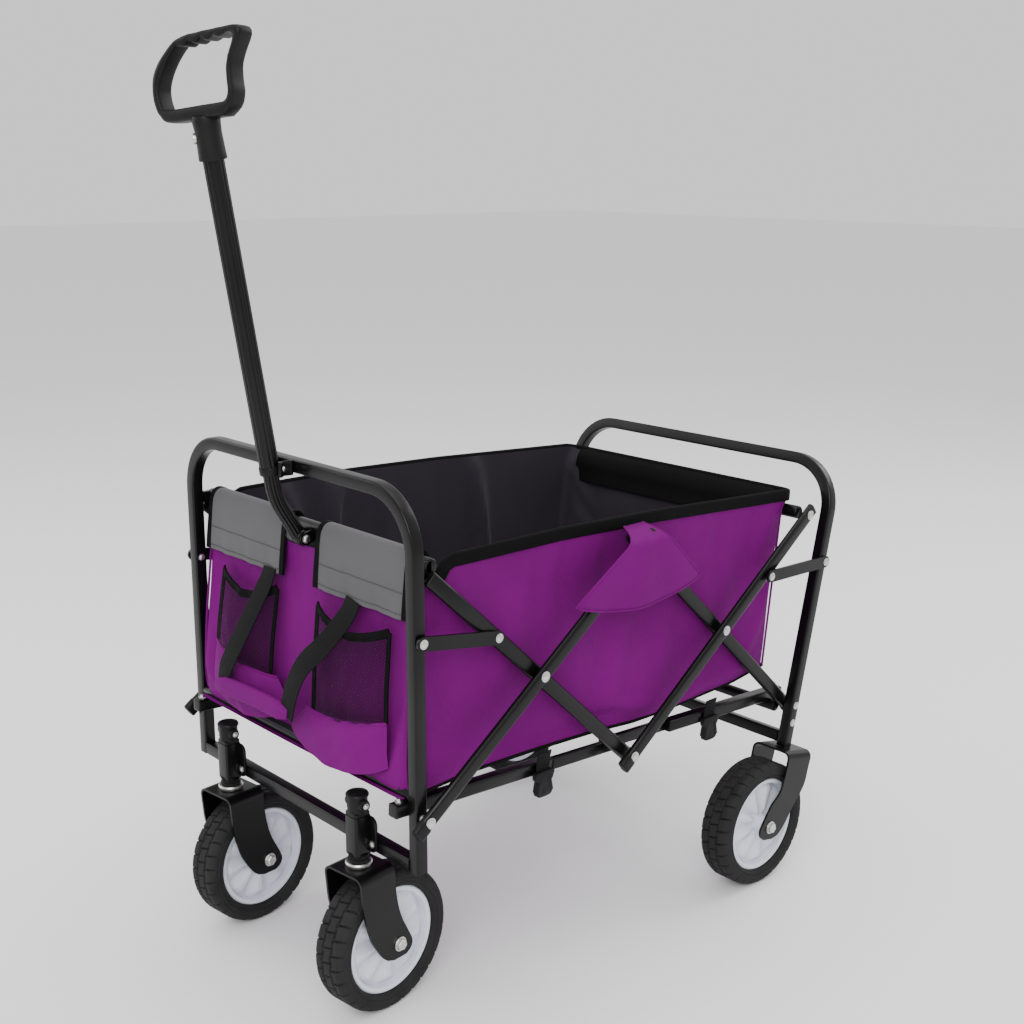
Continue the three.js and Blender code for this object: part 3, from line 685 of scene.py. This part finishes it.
rings = []
for i in range(HUB_AROUND):
    a, share = 2 * math.pi * i / HUB_AROUND, i / HUB_AROUND * FACETS
    ring = [(r, hub_face(r, share)) for r in radii]
    ring = ring + [(r, -x) for r, x in ring[::-1]]
    rings.append([Vector((x, r * math.cos(a), r * math.sin(a))) / 1000 for r, x in ring])
hub_skin = loft(rings, closed=True)
for name, body, centre, angle in (
    ("front_left", "wheel_front_left", caster_axes(1)(0, TRAIL, AXLE_Z), 6),
    ("front_right", "wheel_front_right", caster_axes(-1)(0, TRAIL, AXLE_Z), 6),
    ("rear_left", "wheel_rear_left", at(HALF_REAR, 591, AXLE_Z), 0),
    ("rear_right", "wheel_rear_right", at(-HALF_REAR, 591, AXLE_Z), 0),
):
    place = Matrix.Translation(centre) @ Matrix.Rotation(math.radians(angle), 4, "Z")
    spun = Matrix.Rotation(math.radians(37 * (1 + len(name))), 4, "X")
    for part, skin, finish, slot, crease in (
        ("tyre", tyre_skin, rubber, "tyre_black", 28),
        ("hub", hub_skin, hub_plastic, "hub_white", 22),
    ):
        spots = [place @ spun @ p for p in skin[0]]
        piece(f"{name}_{part}_moulding", spots, skin[1], finish, body, slot, [f"{name}_{part}"], crease)
    carrier = name.replace("front", "caster") if name.startswith("front") else "rear_frame"
    across = place.to_3x3() @ Vector((1, 0, 0))
    bolt = [turned([(0, -38), (5, -38), (5, 38), (0, 38)], centre, across, 20)]
    for way in (1, -1):
        seat = centre + across * way * 0.0323
        bolt.append(turned([(0, 0), (9, 0), (9, 1.2), (0, 1.4)], seat, across * way, 28))
        hexagon = [(0, 1), (6.9, 1), (7.4, 2), (7.4, 4.6), (6.2, 5.6), (0, 5.6)]
        bolt.append(turned(hexagon, seat, across * way, 6))
    piece(f"{name}_axle", *joined(*bolt), zinc, carrier, "zinc_steel", [f"{name}_axle_bolt"], 25)

# Pull handle: a grooved steel shaft bent at its foot, a grooved tube that slides over it, a spring
# clip on the arch, a flared plastic collar with a cross bolt, and a moulded D-shaped grip.
TILT = math.radians(9.1)
OFFSET = -22.4  # of the straight shaft from the pivot, across the handle


def on_shaft(x, y, z):
    """A point in the handle's own leaning axes, from its pivot."""
    c, s = math.cos(TILT), math.sin(TILT)
    return at(x, HANDLE_PIVOT[0] + y * c - z * s, HANDLE_PIVOT[1] + y * s + z * c)


bend = [(0, 0), (-6, 17), (-12.6, 33), (-18.6, 48), (-21.6, 62), (OFFSET, 76), (OFFSET, 90)]
spine = [on_shaft(0, y, z) for y, z in smooth_line(bend, 5)]
spine += [on_shaft(0, OFFSET, 230), on_shaft(0, OFFSET, 378)]
grooved = ring_section(0.0094, 72, 12, 0.0011)
lower = joined(
    sweep(spine, grooved, (1, 0, 0), 0.001),
    turned([(0, -12), (8.4, -12), (9.2, -11.2), (9.2, 11.2), (8.4, 12), (0, 12)], on_shaft(0, 0, 0)),
)
piece("handle_shaft_steel", *lower, powder_coat, "handle_lower", "frame_black", ["handle_lower_shaft"], 50)
outer = ring_section(0.0117, 84, 12, 0.0012)
sleeve = sweep([on_shaft(0, OFFSET, z) for z in (88, 92, 200, 320, 484)], outer, (1, 0, 0))
piece("handle_tube_steel", *sleeve, powder_coat, "handle_upper", "frame_black", ["handle_upper_tube"], 50)
collar_axis = (on_shaft(0, 0, 1) - on_shaft(0, 0, 0)).normalized()
shaft_foot = on_shaft(0, OFFSET, 0)
profile = [(11.6, 87), (12.4, 87), (12.8, 88), (12.8, 95), (12.2, 96.4), (11.6, 96.4)]
lip = turned(profile, shaft_foot, collar_axis, 36)
piece("handle_tube_lip", *lip, black_plastic, "handle_upper", "plastic_black")
profile = [(11, 446), (14.9, 446), (15.4, 447.2), (15.2, 452), (14.8, 460), (14.4, 474)]
profile += [(14.9, 482), (15.6, 488), (14.4, 493), (0, 493)]
collar = turned(profile, shaft_foot, collar_axis, 48)
piece("grip_collar_moulding", *collar, black_plastic, "handle_upper", "plastic_black", ["grip_collar"])
sideways = Vector((-0.55, -0.83, 0)).normalized()
profile = [(0, 0), (5.6, 0), (5.9, 1), (5.9, 3.4), (5.2, 4.2), (3.1, 4.2), (2.9, 2.2), (0, 2.2)]
bolt = turned(profile, on_shaft(0, OFFSET, 468) + sideways * 0.0136, sideways, 24)
piece("grip_collar_bolt", *bolt, zinc, "handle_upper", "zinc_steel")

grip_turn = Matrix.Identity(3)
for degrees, about in ((16, "Z"), (-10, "X"), (-3, "Y")):
    grip_turn = grip_turn @ Matrix.Rotation(math.radians(degrees), 3, about)


def on_grip(x, n, v):
    """A point in the grip's own plane: along it, out of it and up it, from the collar's top."""
    p = grip_turn @ Vector((x, n, v))
    return on_shaft(p.x, p.y + OFFSET, p.z + 495)


outline = [(34, -7), (0, -7), (-46, -6), (-57, 2), (-62, 12), (-64, 24), (-62, 42), (-53, 56), (-40, 67),
    (-28, 75), (-14, 80), (10, 81.5), (40, 82), (60, 82), (68, 79), (68.5, 72), (60, 59), (52.5, 45), (51,
    30), (51.5, 16), (46, 2), (34, -7)]
window = [(36, 8), (0, 8), (-46, 8), (-52, 12), (-54.5, 22), (-54, 32), (-48, 44), (-38, 57), (-26, 68),
    (-16, 73.5), (10, 75), (34, 75), (51, 75), (57, 72.5), (55.5, 65), (50, 55), (45, 42), (44, 28), (44,
    18), (41, 11), (36, 8)]


GRIP_MIDDLE, GRIP_STEPS = (-2, 36), 144


def by_angle(corners, count=GRIP_STEPS):
    """The outline's radius about the grip's middle, at even angles."""
    line = smooth_line(corners, 8) - np.array(GRIP_MIDDLE)
    angles = np.unwrap(np.arctan2(line[:, 1], line[:, 0]))
    angles = angles % (2 * math.pi)
    order = np.argsort(angles)
    wanted = np.linspace(0, 2 * math.pi, count, endpoint=False)
    radius = np.hypot(line[:, 0], line[:, 1])
    return np.interp(wanted, angles[order], radius[order], period=2 * math.pi)


far, near = by_angle(outline), by_angle(window)
rings = []
for i, (far_r, near_r) in enumerate(zip(far, near)):
    a = 2 * math.pi * i / GRIP_STEPS
    x = GRIP_MIDDLE[0] + near_r * math.cos(a)
    if math.sin(a) > 0.3 and -22 < x < 50:
        near_r -= 5.0 * abs(math.sin(math.pi * (x + 22) / 18)) ** 1.3
    middle, half = (far_r + near_r) / 2, (far_r - near_r) / 2
    ring = []
    for s in range(20):
        phi = 2 * math.pi * s / 20
        c, d = math.cos(phi), math.sin(phi)
        r = middle + half * math.copysign(abs(c) ** 0.55, c)
        n = 11.6 * math.copysign(abs(d) ** 0.45, d)
        ring.append(on_grip(GRIP_MIDDLE[0] + r * math.cos(a), n, GRIP_MIDDLE[1] + r * math.sin(a)))
    rings.append(ring)
grip = loft(rings, closed=True)
piece("grip_moulding", *grip, black_plastic, "handle_upper", "plastic_black", ["handle_grip"], 60)

CLIP_Z = 651
jaw = [(16.6, -25), (18.6, -27.4), (17, -29), (13.4, -27), (12.9, -20), (14.2, -13), (14.6, -9.6),
    (8, -8.6)]
spring = [(-x, y) for x, y in jaw] + [(0, -8.5)] + jaw[::-1]
strip = [at(x, y, CLIP_Z) for x, y in smooth_line(spring, 4)]
clip = sweep(strip, rounded(0.0024, 0.018, 0.0008, 2), (0, 0, 1), 0.0006)
piece("clip_strip", *clip, powder_coat, "root", "frame_black", ["handle_clip"])
pins = [rivet(at(way * 14.8, -22, CLIP_Z), (way, 0, 0), 0.5) for way in (1, -1)]
pins.append(rivet(at(0, -9.8, CLIP_Z), (0, -1, 0), 0.4))
piece("clip_pins", *joined(*pins), zinc, "root", "zinc_steel")

# Bag shell: one band of purple polyester twill sewn into a box, hung by its rim between the frames.
# It is pinned along its rim, its bottom seam and its corner seams, and settles by cloth simulation.
def woven(name, dark, light, pitch, roughness, **fixed):
    """A cloth finish: diagonal twill lines over crossing threads, with a soft change of colour."""
    cloth = Finish(name, light, roughness, Specular_IOR_Level=0.05, **fixed)
    wave = 2 * math.pi / pitch
    twill = cloth.along(wave, wave, wave).sine() * 0.5 + 0.5
    threads = cloth.along(0, 0, wave * 1.6).sine() * cloth.along(wave * 1.6, wave * 1.6, 0).sine()
    broad = cloth.noise(7.0, 4.0)
    fuzz = cloth.noise(700.0, 2.0)
    depth = broad * 0.55 + twill * 0.3 + threads * 0.1
    cloth.drive(
        Base_Color=cloth.mix(depth, dark, light),
        Roughness=fuzz * 0.15 + (roughness - 0.08),
    ).raised(twill * 0.6 + threads * 0.3 + fuzz * 0.3, 0.0003, 0.5)
    return cloth


purple = woven("purple_twill", (0.08, 0.0, 0.075), (0.2, 0.0, 0.187), 0.0024, 0.62)
lining = woven("dark_lining", (0.016, 0.0135, 0.018), (0.036, 0.031, 0.042), 0.002, 0.55, Sheen_Weight=0.05)
tape = woven("black_binding", (0.002, 0.002, 0.002), (0.007, 0.007, 0.0075), 0.0016, 0.7)

HALF, SIDE_LENGTH = 218.0, 690.0
GIRTH = 4 * HALF + 2 * SIDE_LENGTH
COLUMNS, ROWS = 200, 26


def rim_height(y):
    return np.interp(y, [-20, 30, 44, 226, 395, 674, 705], [550, 553, 573, 573, 567, 551, 546])


def seam_height(y):
    low_edge = [300, 303, 307, 304, 298, 292, 291, 295, 301]
    return np.interp(y, [-40, 25, 94, 208, 326, 392, 459, 609, 660], low_edge)


def front_face(z):
    return np.interp(z, [296, 312, 350, 420, 511, 552], [-4, -9, -10, -4, 8, 12])


def rear_face(z):
    return np.interp(z, [300, 505, 528, 547], [646, 670, 673, 690])


def shell_point(share, down):
    """A point of the bag's wall: share runs round it from the front's middle, down from rim to seam."""
    d = share * GIRTH
    corner = 16.0
    mirrored = d > GIRTH / 2
    if mirrored:
        d = GIRTH - d
    if d < HALF:
        x, along = d, 0.0
    elif d < HALF + SIDE_LENGTH:
        x, along = HALF, (d - HALF) / SIDE_LENGTH
    else:
        x, along = HALF - (d - HALF - SIDE_LENGTH), 1.0
    guess = along * SIDE_LENGTH
    top, low = float(rim_height(guess)), float(seam_height(guess))
    z = top + (low - top) * down
    y0, y1 = float(front_face(z)), float(rear_face(z))
    y = y0 + (y1 - y0) * along
    near_corner = min(abs(x - HALF) + abs(y - y0), abs(x - HALF) + abs(y - y1))
    if near_corner < corner:
        pull = (corner - near_corner) * 0.35
        x -= pull * 0.7
        y += pull * 0.7 * (1 if along < 0.5 else -1)
    return (-x if mirrored else x), y, z


grid = []
for r in range(ROWS + 1):
    for c in range(COLUMNS):
        grid.append(at(*shell_point(c / COLUMNS, r / ROWS)))
quads = []
for r in range(ROWS):
    for c in range(COLUMNS):
        low, high = r * COLUMNS, (r + 1) * COLUMNS
        d = (c + 1) % COLUMNS
        quads.append((low + c, low + d, high + d, high + c))
bag = piece("bag_shell", grid, quads, purple, None, "fabric_purple")
rest_shape = np.array([v.co for v in bag.data.vertices], float)
pins = bag.vertex_groups.new(name="seams")
corners = [HALF / GIRTH, (HALF + SIDE_LENGTH) / GIRTH]
corners += [1 - c for c in corners]
for r in range(ROWS + 1):
    for c in range(COLUMNS):
        share = c / COLUMNS
        near = min(abs(share - k) for k in corners)
        if r in (0, ROWS) or near < 0.004:
            pins.add([r * COLUMNS + c], 1.0, "REPLACE")
cloth = bag.modifiers.new("settle", "CLOTH")
cloth.settings.quality = 6
cloth.settings.mass = 0.25
cloth.settings.tension_stiffness = 12
cloth.settings.compression_stiffness = 12
cloth.settings.shear_stiffness = 4
cloth.settings.bending_stiffness = 0.4
cloth.settings.air_damping = 4
cloth.settings.shrink_min = -0.012
cloth.settings.vertex_group_mass = "seams"
cloth.collision_settings.use_collision = False
cloth.point_cache.frame_end = 26
for step in range(1, 27):
    bpy.context.scene.frame_set(step)
settled = bag.evaluated_get(bpy.context.evaluated_depsgraph_get())
after = np.array([v.co for v in settled.data.vertices], float)
bag.modifiers.remove(cloth)
bag.vertex_groups.clear()
bpy.context.scene.frame_set(1)
moved = after - rest_shape
reach = np.linalg.norm(moved, axis=1, keepdims=True)
moved *= np.minimum(1.0, 0.009 / np.maximum(reach, 1e-9))
rest_shape = rest_shape + np.nan_to_num(moved)
# Gathers run down from the rim and pull lines fan out from the corners.
for i, p in enumerate(rest_shape):
    r, c = divmod(i, COLUMNS)
    share, down = c / COLUMNS, r / ROWS
    held = math.sin(math.pi * down) ** 0.6
    fold = 1.1 * math.sin(share * 61 + 2.2 * math.sin(down * 5)) + 0.9 * math.sin(share * 143 + down * 6)
    fold += 1.3 * math.sin(share * 37 - down * 9)
    if abs(p[0]) > 0.2125:
        outward = np.array([math.copysign(1, p[0]), 0, 0])
    else:
        outward = np.array([0, -1 if p[1] < 0 else 1, 0])
    p += outward * held * fold * 0.001
bag.data.vertices.foreach_set("co", rest_shape.ravel())


def settle_mesh(made):
    """Turns an object's modifiers into its own mesh."""
    graph = bpy.context.evaluated_depsgraph_get()
    done = bpy.data.meshes.new_from_object(made.evaluated_get(graph))
    made.modifiers.clear()
    made.data = done
    return made


def rounded_off(made):
    """Smooths a cloth mesh once, for good."""
    subdivision = made.modifiers.new("round", "SUBSURF")
    subdivision.levels = subdivision.render_levels = 1
    return settle_mesh(made)


rounded_off(bag)


def grid_faces(rows, columns):
    """Quads of a sheet whose points run row by row."""
    width = columns + 1
    corners = [(r * width + c, (r + 1) * width + c) for r in range(rows) for c in range(columns)]
    return [(low, low + 1, high + 1, high) for low, high in corners]


def on_bag(made, *nodes):
    """Cloth and what is sewn to it ride on the front frame."""
    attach(made, "root")
    if nodes:
        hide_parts(*nodes)
    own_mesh(made)
    return made


on_bag(bag, "bag_side_left", "bag_side_right", "bag_front", "bag_rear")

# Lining: the same band again inside the shell, with three loose folds in each long wall where the
# stiffening boards of the wall end.
WALL_FOLDS = ((128, 60), (215, -40), (470, 30))  # place along the wall at the rim, lean by the seam
inside = []
for i, p in enumerate(rest_shape):
    r, c = divmod(i, COLUMNS)
    share, down = c / COLUMNS, r / ROWS
    x, y = p[0], p[1]
    held = math.sin(math.pi * min(down * 1.02, 1)) ** 0.5
    if abs(x) > 0.2:
        inward = np.array([-math.copysign(1, x), 0, 0])
        along = (y - FRONT) * 1000
        fold = sum(24 * math.exp(-((along - k - lean * down) / 11) ** 2) for k, lean in WALL_FOLDS)
    else:
        inward = np.array([0, 1 if y < 0 else -1, 0])
        fold = 2.0 * (0.5 + 0.5 * math.sin(x * 60))
    step = (3.2 + fold * held) * 0.001
    q = p + inward * step
    q[0] = max(min(q[0], 0.2135), -0.2135)
    if p[1] < FRONT + 0.02:
        q[1] = max(q[1], min(p[1], q[1]) + 0.0035)
    else:
        q[1] = min(q[1], p[1])
    inside.append(q)
liner = piece("bag_lining", inside, quads, lining, None)
rounded_off(liner)
on_bag(liner)

# Floor of the bag: a purple underside and a stiffened mat in four hinged boards, covered in lining.
under, steps, across = [], 44, 12
for k in range(steps + 1):
    y = -14 + (645 + 14) * k / steps
    for j in range(across + 1):
        x = -216 + 36 * j
        sag = 2.2 * math.sin(math.pi * j / across) * (0.6 + 0.4 * math.sin(k * 0.9))
        under.append(at(x, y, float(seam_height(y)) - sag + 1))
base = piece("bag_underside", under, grid_faces(steps, across), purple, None, "fabric_purple")
on_bag(base)
mat_rings = []
for k in range(97):
    y = -8 + 642 * k / 96
    board = abs(math.sin(math.pi * k / 24)) ** 0.35
    thick = 2.2 + 4.2 * board
    half = 207 - 1.5 * (1 - board)
    z = float(seam_height(y)) + 9
    ring = []
    for u, v in rounded(2 * half / 1000, thick * 2 / 1000, thick * 0.9 / 1000, 4):
        crown = 1.6 * board * math.cos(u * 1000 / half * math.pi / 2)
        ring.append(at(u * 1000, y, z + v * 1000 + (crown if v > 0 else 0)))
    mat_rings.append(ring)
mat = piece("bag_floor_boards", *loft(mat_rings), lining, None, "fabric_purple")
on_bag(mat, "bag_floor_mat")

# Rim binding and bottom piping: folded black tape sewn over the raw edges. The front edge has none,
# because it goes up under the sleeves. The corner seams are rolls of the shell's own cloth.
rim = [Vector(shell_point(c / COLUMNS, 0)) for c in range(COLUMNS)]
rim_steps = [at(p.x, p.y, p.z - 4.5) for p in rim if p.y > 30]
binding = sweep(rim_steps, rounded(0.0062, 0.017, 0.003, 3), (0, 0, 1), 0.001)
on_bag(piece("bag_rim_binding", *binding, tape, None))
hem = [at(*shell_point(c / COLUMNS, 1)) for c in range(COLUMNS)]
piping = sweep(hem, ring_section(0.0022, 8), (0, 0, 1), closed=True)
on_bag(piece("bag_bottom_piping", *piping, tape, None))
rods = []
for sign in (1, -1):
    for along in (0.002, 0.998):
        spots = [shell_point((HALF + SIDE_LENGTH * along) / GIRTH, k / 12) for k in range(13)]
        line = [at(sign * (x + 0.6), y, z) for x, y, z in spots]
        rods.append(sweep(line, ring_section(0.0016, 8), (1, 0, 0)))
on_bag(piece("bag_corner_seams", *joined(*rods), purple, None, "fabric_purple"))

# Sleeves of grey cloth, stitched to the bag, wrap the front tube on each side of the handle; a
# black band holds the rear rim to the rear tube in the same way.
grey = woven("grey_sleeve_cloth", (0.06, 0.058, 0.062), (0.125, 0.122, 0.13), 0.0022, 0.66,
    Sheen_Weight=0.05)
thread = Finish("sewing_thread", (0.03, 0.03, 0.03), 0.6)
thread.drive(Base_Color=thread.mix(thread.noise(600.0), (0.02, 0.02, 0.02), (0.05, 0.05, 0.05)))


def sleeve_wave(x, z):
    """How far the loose front of a sleeve ripples forward: not at all from the tube's level up."""
    return max(0, (560 - z) / 50) * (0.9 * math.sin(x * 0.11) + 0.6 * math.sin(x * 0.23 + 1))


def wrap(low, high, line, thick=0.0022, count=28, ripple=1.0):
    """A strip of cloth over a tube: its line lies across the tube, its width along it."""
    line = smooth_line(line, 5)
    rings = []
    for k in range(count + 1):
        x = low + (high - low) * k / count
        ring_out, ring_in = [], []
        for i, (y, z) in enumerate(line):
            ahead, behind = line[min(i + 1, len(line) - 1)], line[max(i - 1, 0)]
            t = (ahead - behind) / np.linalg.norm(ahead - behind)
            n = np.array((-t[1], t[0]))
            wave = ripple * sleeve_wave(x, z) if y < 11 else 0
            ring_out.append(at(x, y + n[0] * thick * 500 - wave, z + n[1] * thick * 500))
            ring_in.append(at(x, y - n[0] * thick * 500 - wave, z - n[1] * thick * 500))
        rings.append(ring_out + ring_in[::-1])
    return loft(rings)


over_tube = [(3.5, 507), (5, 524), (7.5, 545), (9.5, 562), (12, 574), (17, 581.5), (24, 583.5)]
over_tube += [(31, 581), (36, 573), (37, 560), (36.5, 530)]
for side, low, high in (("left", 33, 208), ("right", -208, -33)):
    made = on_bag(piece(f"sleeve_{side}", *wrap(low, high, over_tube), grey, None))
    edges = [wrap(e - 4, e + 4, over_tube, 0.0034, 2, 1.0) for e in (low + 3, high - 3)]
    on_bag(piece(f"sleeve_{side}_edges", *joined(*edges), tape, None))
    stitches = []
    for y_cloth, z in ((2.5, 513), (5.1, 537)):
        for k in range(34):
            x = low + 10 + (high - low - 20) * k / 33
            y = y_cloth - sleeve_wave(x, z)
            ends = [at(x - 1.5, y, z), at(x, y - 0.35, z), at(x + 1.5, y, z)]
            stitches.append(sweep(ends, ring_section(0.00045, 6), (0, 1, 0)))
    on_bag(piece(f"sleeve_{side}_stitches", *joined(*stitches), thread, None))
over_rear = [(669, 500), (672.5, 515), (674.5, 530), (681, 543), (690, 547.5), (698, 541), (699.5, 528),
    (697.5, 512)]
band = on_bag(piece("rear_tube_band", *wrap(-196, 196, over_rear, 0.0022, 30, 0.0), tape, None))

# Flap: a peak of the shell's own purple twill, hemmed all round and sewn on at its tip. It hangs
# over the top middle pivot on each side, and widens towards a hem that dips in the middle.
TIP_FRONT, TIP_REAR = np.array((328, 563)), np.array((362, 563))
HEM_FRONT, HEM_REAR = np.array((219, 488)), np.array((447, 485))
for side, sign in (("left", 1), ("right", -1)):
    sheet_points, rows, columns = [], 18, 26
    for r in range(rows + 1):
        b = r / rows
        for c in range(columns + 1):
            a = c / columns
            front_edge = TIP_FRONT + (HEM_FRONT - TIP_FRONT) * b
            rear_edge = TIP_REAR + (HEM_REAR - TIP_REAR) * b
            y, z = front_edge + (rear_edge - front_edge) * a
            z -= 21 * b ** 1.5 * math.sin(math.pi * a) ** 0.8
            spread = 1 - (1 - min(1, b * 3.8 + 0.1)) ** 2.2
            x = 222 + (41 - 7 * abs(2 * a - 1) ** 1.5 * b) * spread
            x += 1.6 * b * math.sin(a * 15 + 1) - 2.5 * b ** 3 * math.sin(math.pi * a)
            sheet_points.append(at(sign * x, y, z))
    width = columns + 1
    flap = piece(f"flap_{side}", sheet_points, grid_faces(rows, columns), purple, None, "fabric_purple")
    thicken = flap.modifiers.new("cloth", "SOLIDIFY")
    thicken.thickness, thicken.offset = 0.0014, 0
    settle_mesh(flap)
    on_bag(flap, f"bag_flap_{side}")
    lip_line = [sheet_points[r * width] for r in range(rows + 1)]
    lip_line += [sheet_points[rows * width + c] for c in range(1, width)]
    lip_line += [sheet_points[r * width + columns] for r in range(rows - 1, -1, -1)]
    hem = sweep(lip_line, rounded(0.0026, 0.0026, 0.001, 2), (sign, 0, 0))
    on_bag(piece(f"flap_{side}_hem", *hem, purple, None, "fabric_purple"))

# Front pockets: black diamond mesh gathered into bound edges over a pouch of the purple twill. Both
# are sewn to the front panel at their sides, and the net is open at the top.
net = Finish("pocket_net", (0.004, 0.004, 0.004), 0.6, Specular_IOR_Level=0.05)
cell = 2 * math.pi / 0.0052
one = net.along(cell, 0, cell * 0.8).sine().size()
two = net.along(cell, 0, -cell * 0.8).sine().size()
strand = one.least(two)
holes = strand > 0.36
net.drive(
    Base_Color=net.mix(net.noise(300.0), (0.002, 0.002, 0.002), (0.008, 0.007, 0.009)),
    Alpha=1 - holes * 0.93,
).raised(1 - strand, 0.0004, 0.6)
web = Finish("black_webbing", (0.005, 0.005, 0.005), 0.6, Specular_IOR_Level=0.08)
rib = 2 * math.pi / 0.0022
ribs = web.along(0, rib * 0.2, rib).sine() * web.along(rib * 0.7, 0, 0).sine()
web.drive(
    Base_Color=web.mix(ribs * 0.5 + 0.5, (0.002, 0.002, 0.0022), (0.011, 0.011, 0.012)),
    Roughness=web.noise(500.0) * 0.2 + 0.5,
).raised(ribs, 0.0004, 0.7)


def bulged(name, finish, edge_low, edge_high, left, right, depth, body_slot, lean=0.0, wrinkle=1.0):
    """A cloth face between two heights that stands out from the front panel towards its middle."""
    points, rows, columns = [], 22, 26
    for r in range(rows + 1):
        v = r / rows
        for c in range(columns + 1):
            u = c / columns
            low, high = edge_low(u), edge_high(u)
            z = low + (high - low) * v
            x = left(v) + (right(v) - left(v)) * u
            fullness = 0.45 + 0.55 * math.sin(math.pi * min(v * (1 - lean) + lean, 1)) ** 0.5
            out = depth * math.sin(math.pi * u) ** 0.55 * fullness
            ripple = math.sin(u * 17 + v * 5) + 0.8 * math.sin(u * 31 - v * 9)
            out += wrinkle * ripple * math.sin(math.pi * u)
            points.append(at(x, float(front_face(z)) - 3 - out, z))
    width = columns + 1
    made = piece(name, points, grid_faces(rows, columns), finish, None, body_slot)
    top = [points[rows * width + c] for c in range(width)]
    sides = [[points[r * width + c] for r in range(rows + 1)] for c in (0, columns)]
    return made, top, sides


for side, sign, x0, x1 in (("left", 1, 42, 180), ("right", -1, 44, 166)):
    span = lambda v: sign * (x0 + 4 - 4 * v)
    reach = lambda v: sign * (x1 + 6 - 6 * v)
    dip = lambda u: 487 - 17 * math.sin(math.pi * u)
    hem_low = lambda u: (360 + 24 * u if sign > 0 else 378 + 14 * u) - 5 * math.sin(math.pi * u)
    made, top, sides = bulged(f"pocket_net_{side}", net, hem_low, dip, span, reach, 19, "mesh_black")
    on_bag(made, f"front_pocket_{side}")
    rims = [sweep(top, rounded(0.003, 0.011, 0.0014, 2), (0, 0, 1))]
    rims += [sweep(line, rounded(0.007, 0.0026, 0.0012, 2), (0, -1, 0)) for line in sides]
    on_bag(piece(f"pocket_binding_{side}", *joined(*rims), tape, None))
    wide = lambda v: sign * (x1 + 12 - 4 * v)
    inner = lambda v: sign * (-2 + 34 * v)
    pouch_low = lambda u: (330 + 2 * u if sign > 0 else 346 - 6 * u) - 25 * math.sin(math.pi * u) ** 0.8
    made, top, _ = bulged(
        f"pocket_pouch_{side}", purple, pouch_low, hem_low, inner, wide, 17, "fabric_purple", 0.25, 0.8
    )
    on_bag(made)
    seam = sweep(top, rounded(0.003, 0.004, 0.0012, 2), (0, 0, 1))
    on_bag(piece(f"pocket_seam_{side}", *seam, purple, None, "fabric_purple"))

# Carry handle: two flat black webbing straps from under the sleeves hold a padded grip across the
# front. The grip is the purple twill sewn round foam.
routes = ([(-58, 1, 512), (-60, -6, 492), (-78, -24, 440), (-98, -33, 400), (-112, -36, 374),
    (-116, -37, 352)],
          [(114, 1, 510), (108, -6, 490), (88, -24, 455), (60, -34, 425), (40, -38, 390), (26, -38, 352)])
straps = []
for route in routes:
    curve = smooth_line(route, 6)
    straps.append(sweep([at(*p) for p in curve], rounded(0.026, 0.0019, 0.0008, 2), (0, -1, 0)))
on_bag(piece("carry_straps", *joined(*straps), web, None, "mesh_black"))
pad_rings = []
for k in range(33):
    s = k / 32
    x, z = -134 + 164 * s, 349 + 3 * math.sin(math.pi * s) + 6 * s
    swell = min(1.0, 6 * min(s, 1 - s) + 0.25) ** 0.5
    crease = 1 - 0.10 * abs(math.sin(k * 1.7))
    ring = []
    for u, v in rounded(0.027 * swell * crease, 0.010 * swell, 0.0046 * swell, 5):
        ring.append(at(x + u * 180, -38 + v * 1000, z + u * 1000))
    pad_rings.append(ring)
pad = piece("carry_pad", *loft(pad_rings), purple, None, "fabric_purple")
on_bag(pad)

# Side straps: webbing round the floor rails, with a moulded black side-release buckle hanging from
# each. The buckle is a flat body with two prongs in it.
BUCKLE_X = 225
half_shape = [(14, 0), (15, -8), (11, -14), (13, -26), (9, -32)]
shape = [(-14, 0)] + half_shape + [(-p, q) for p, q in half_shape[:0:-1]]
line = smooth_line(shape + shape[:1], 4)[:-1]
for side, sign in (("left", 1), ("right", -1)):
    for k, (y, z) in enumerate(((199, 284), (515, 268))):
        path = [(228, z + 18), (225, z + 6), (224, z - 6), (223, z - 18)]
        strap = sweep([at(sign * x, y, h) for x, h in path], rounded(0.0018, 0.022, 0.0008, 2), (0, 1, 0))
        rings = []
        for d, s in ((-4.5, 0.86), (-3.2, 1), (3.2, 1), (4.5, 0.86)):
            rings.append([at(sign * (BUCKLE_X + d), y + p * s, z - 24 + (q + 16) * s) for p, q in line])
        parts = [loft(rings)]
        for off in (-7, 7):
            prong = [at(sign * BUCKLE_X, y + off, z - 16), at(sign * BUCKLE_X, y + off * 1.5, z - 34)]
            parts.append(sweep(prong, rounded(0.006, 0.011, 0.002, 3), (1, 0, 0), 0.001))
        on_bag(piece(f"side_strap_{side}_{k}", *strap, web, None, "mesh_black"))
        on_bag(piece(f"side_buckle_{side}_{k}", *joined(*parts), black_plastic, None, "plastic_black"))
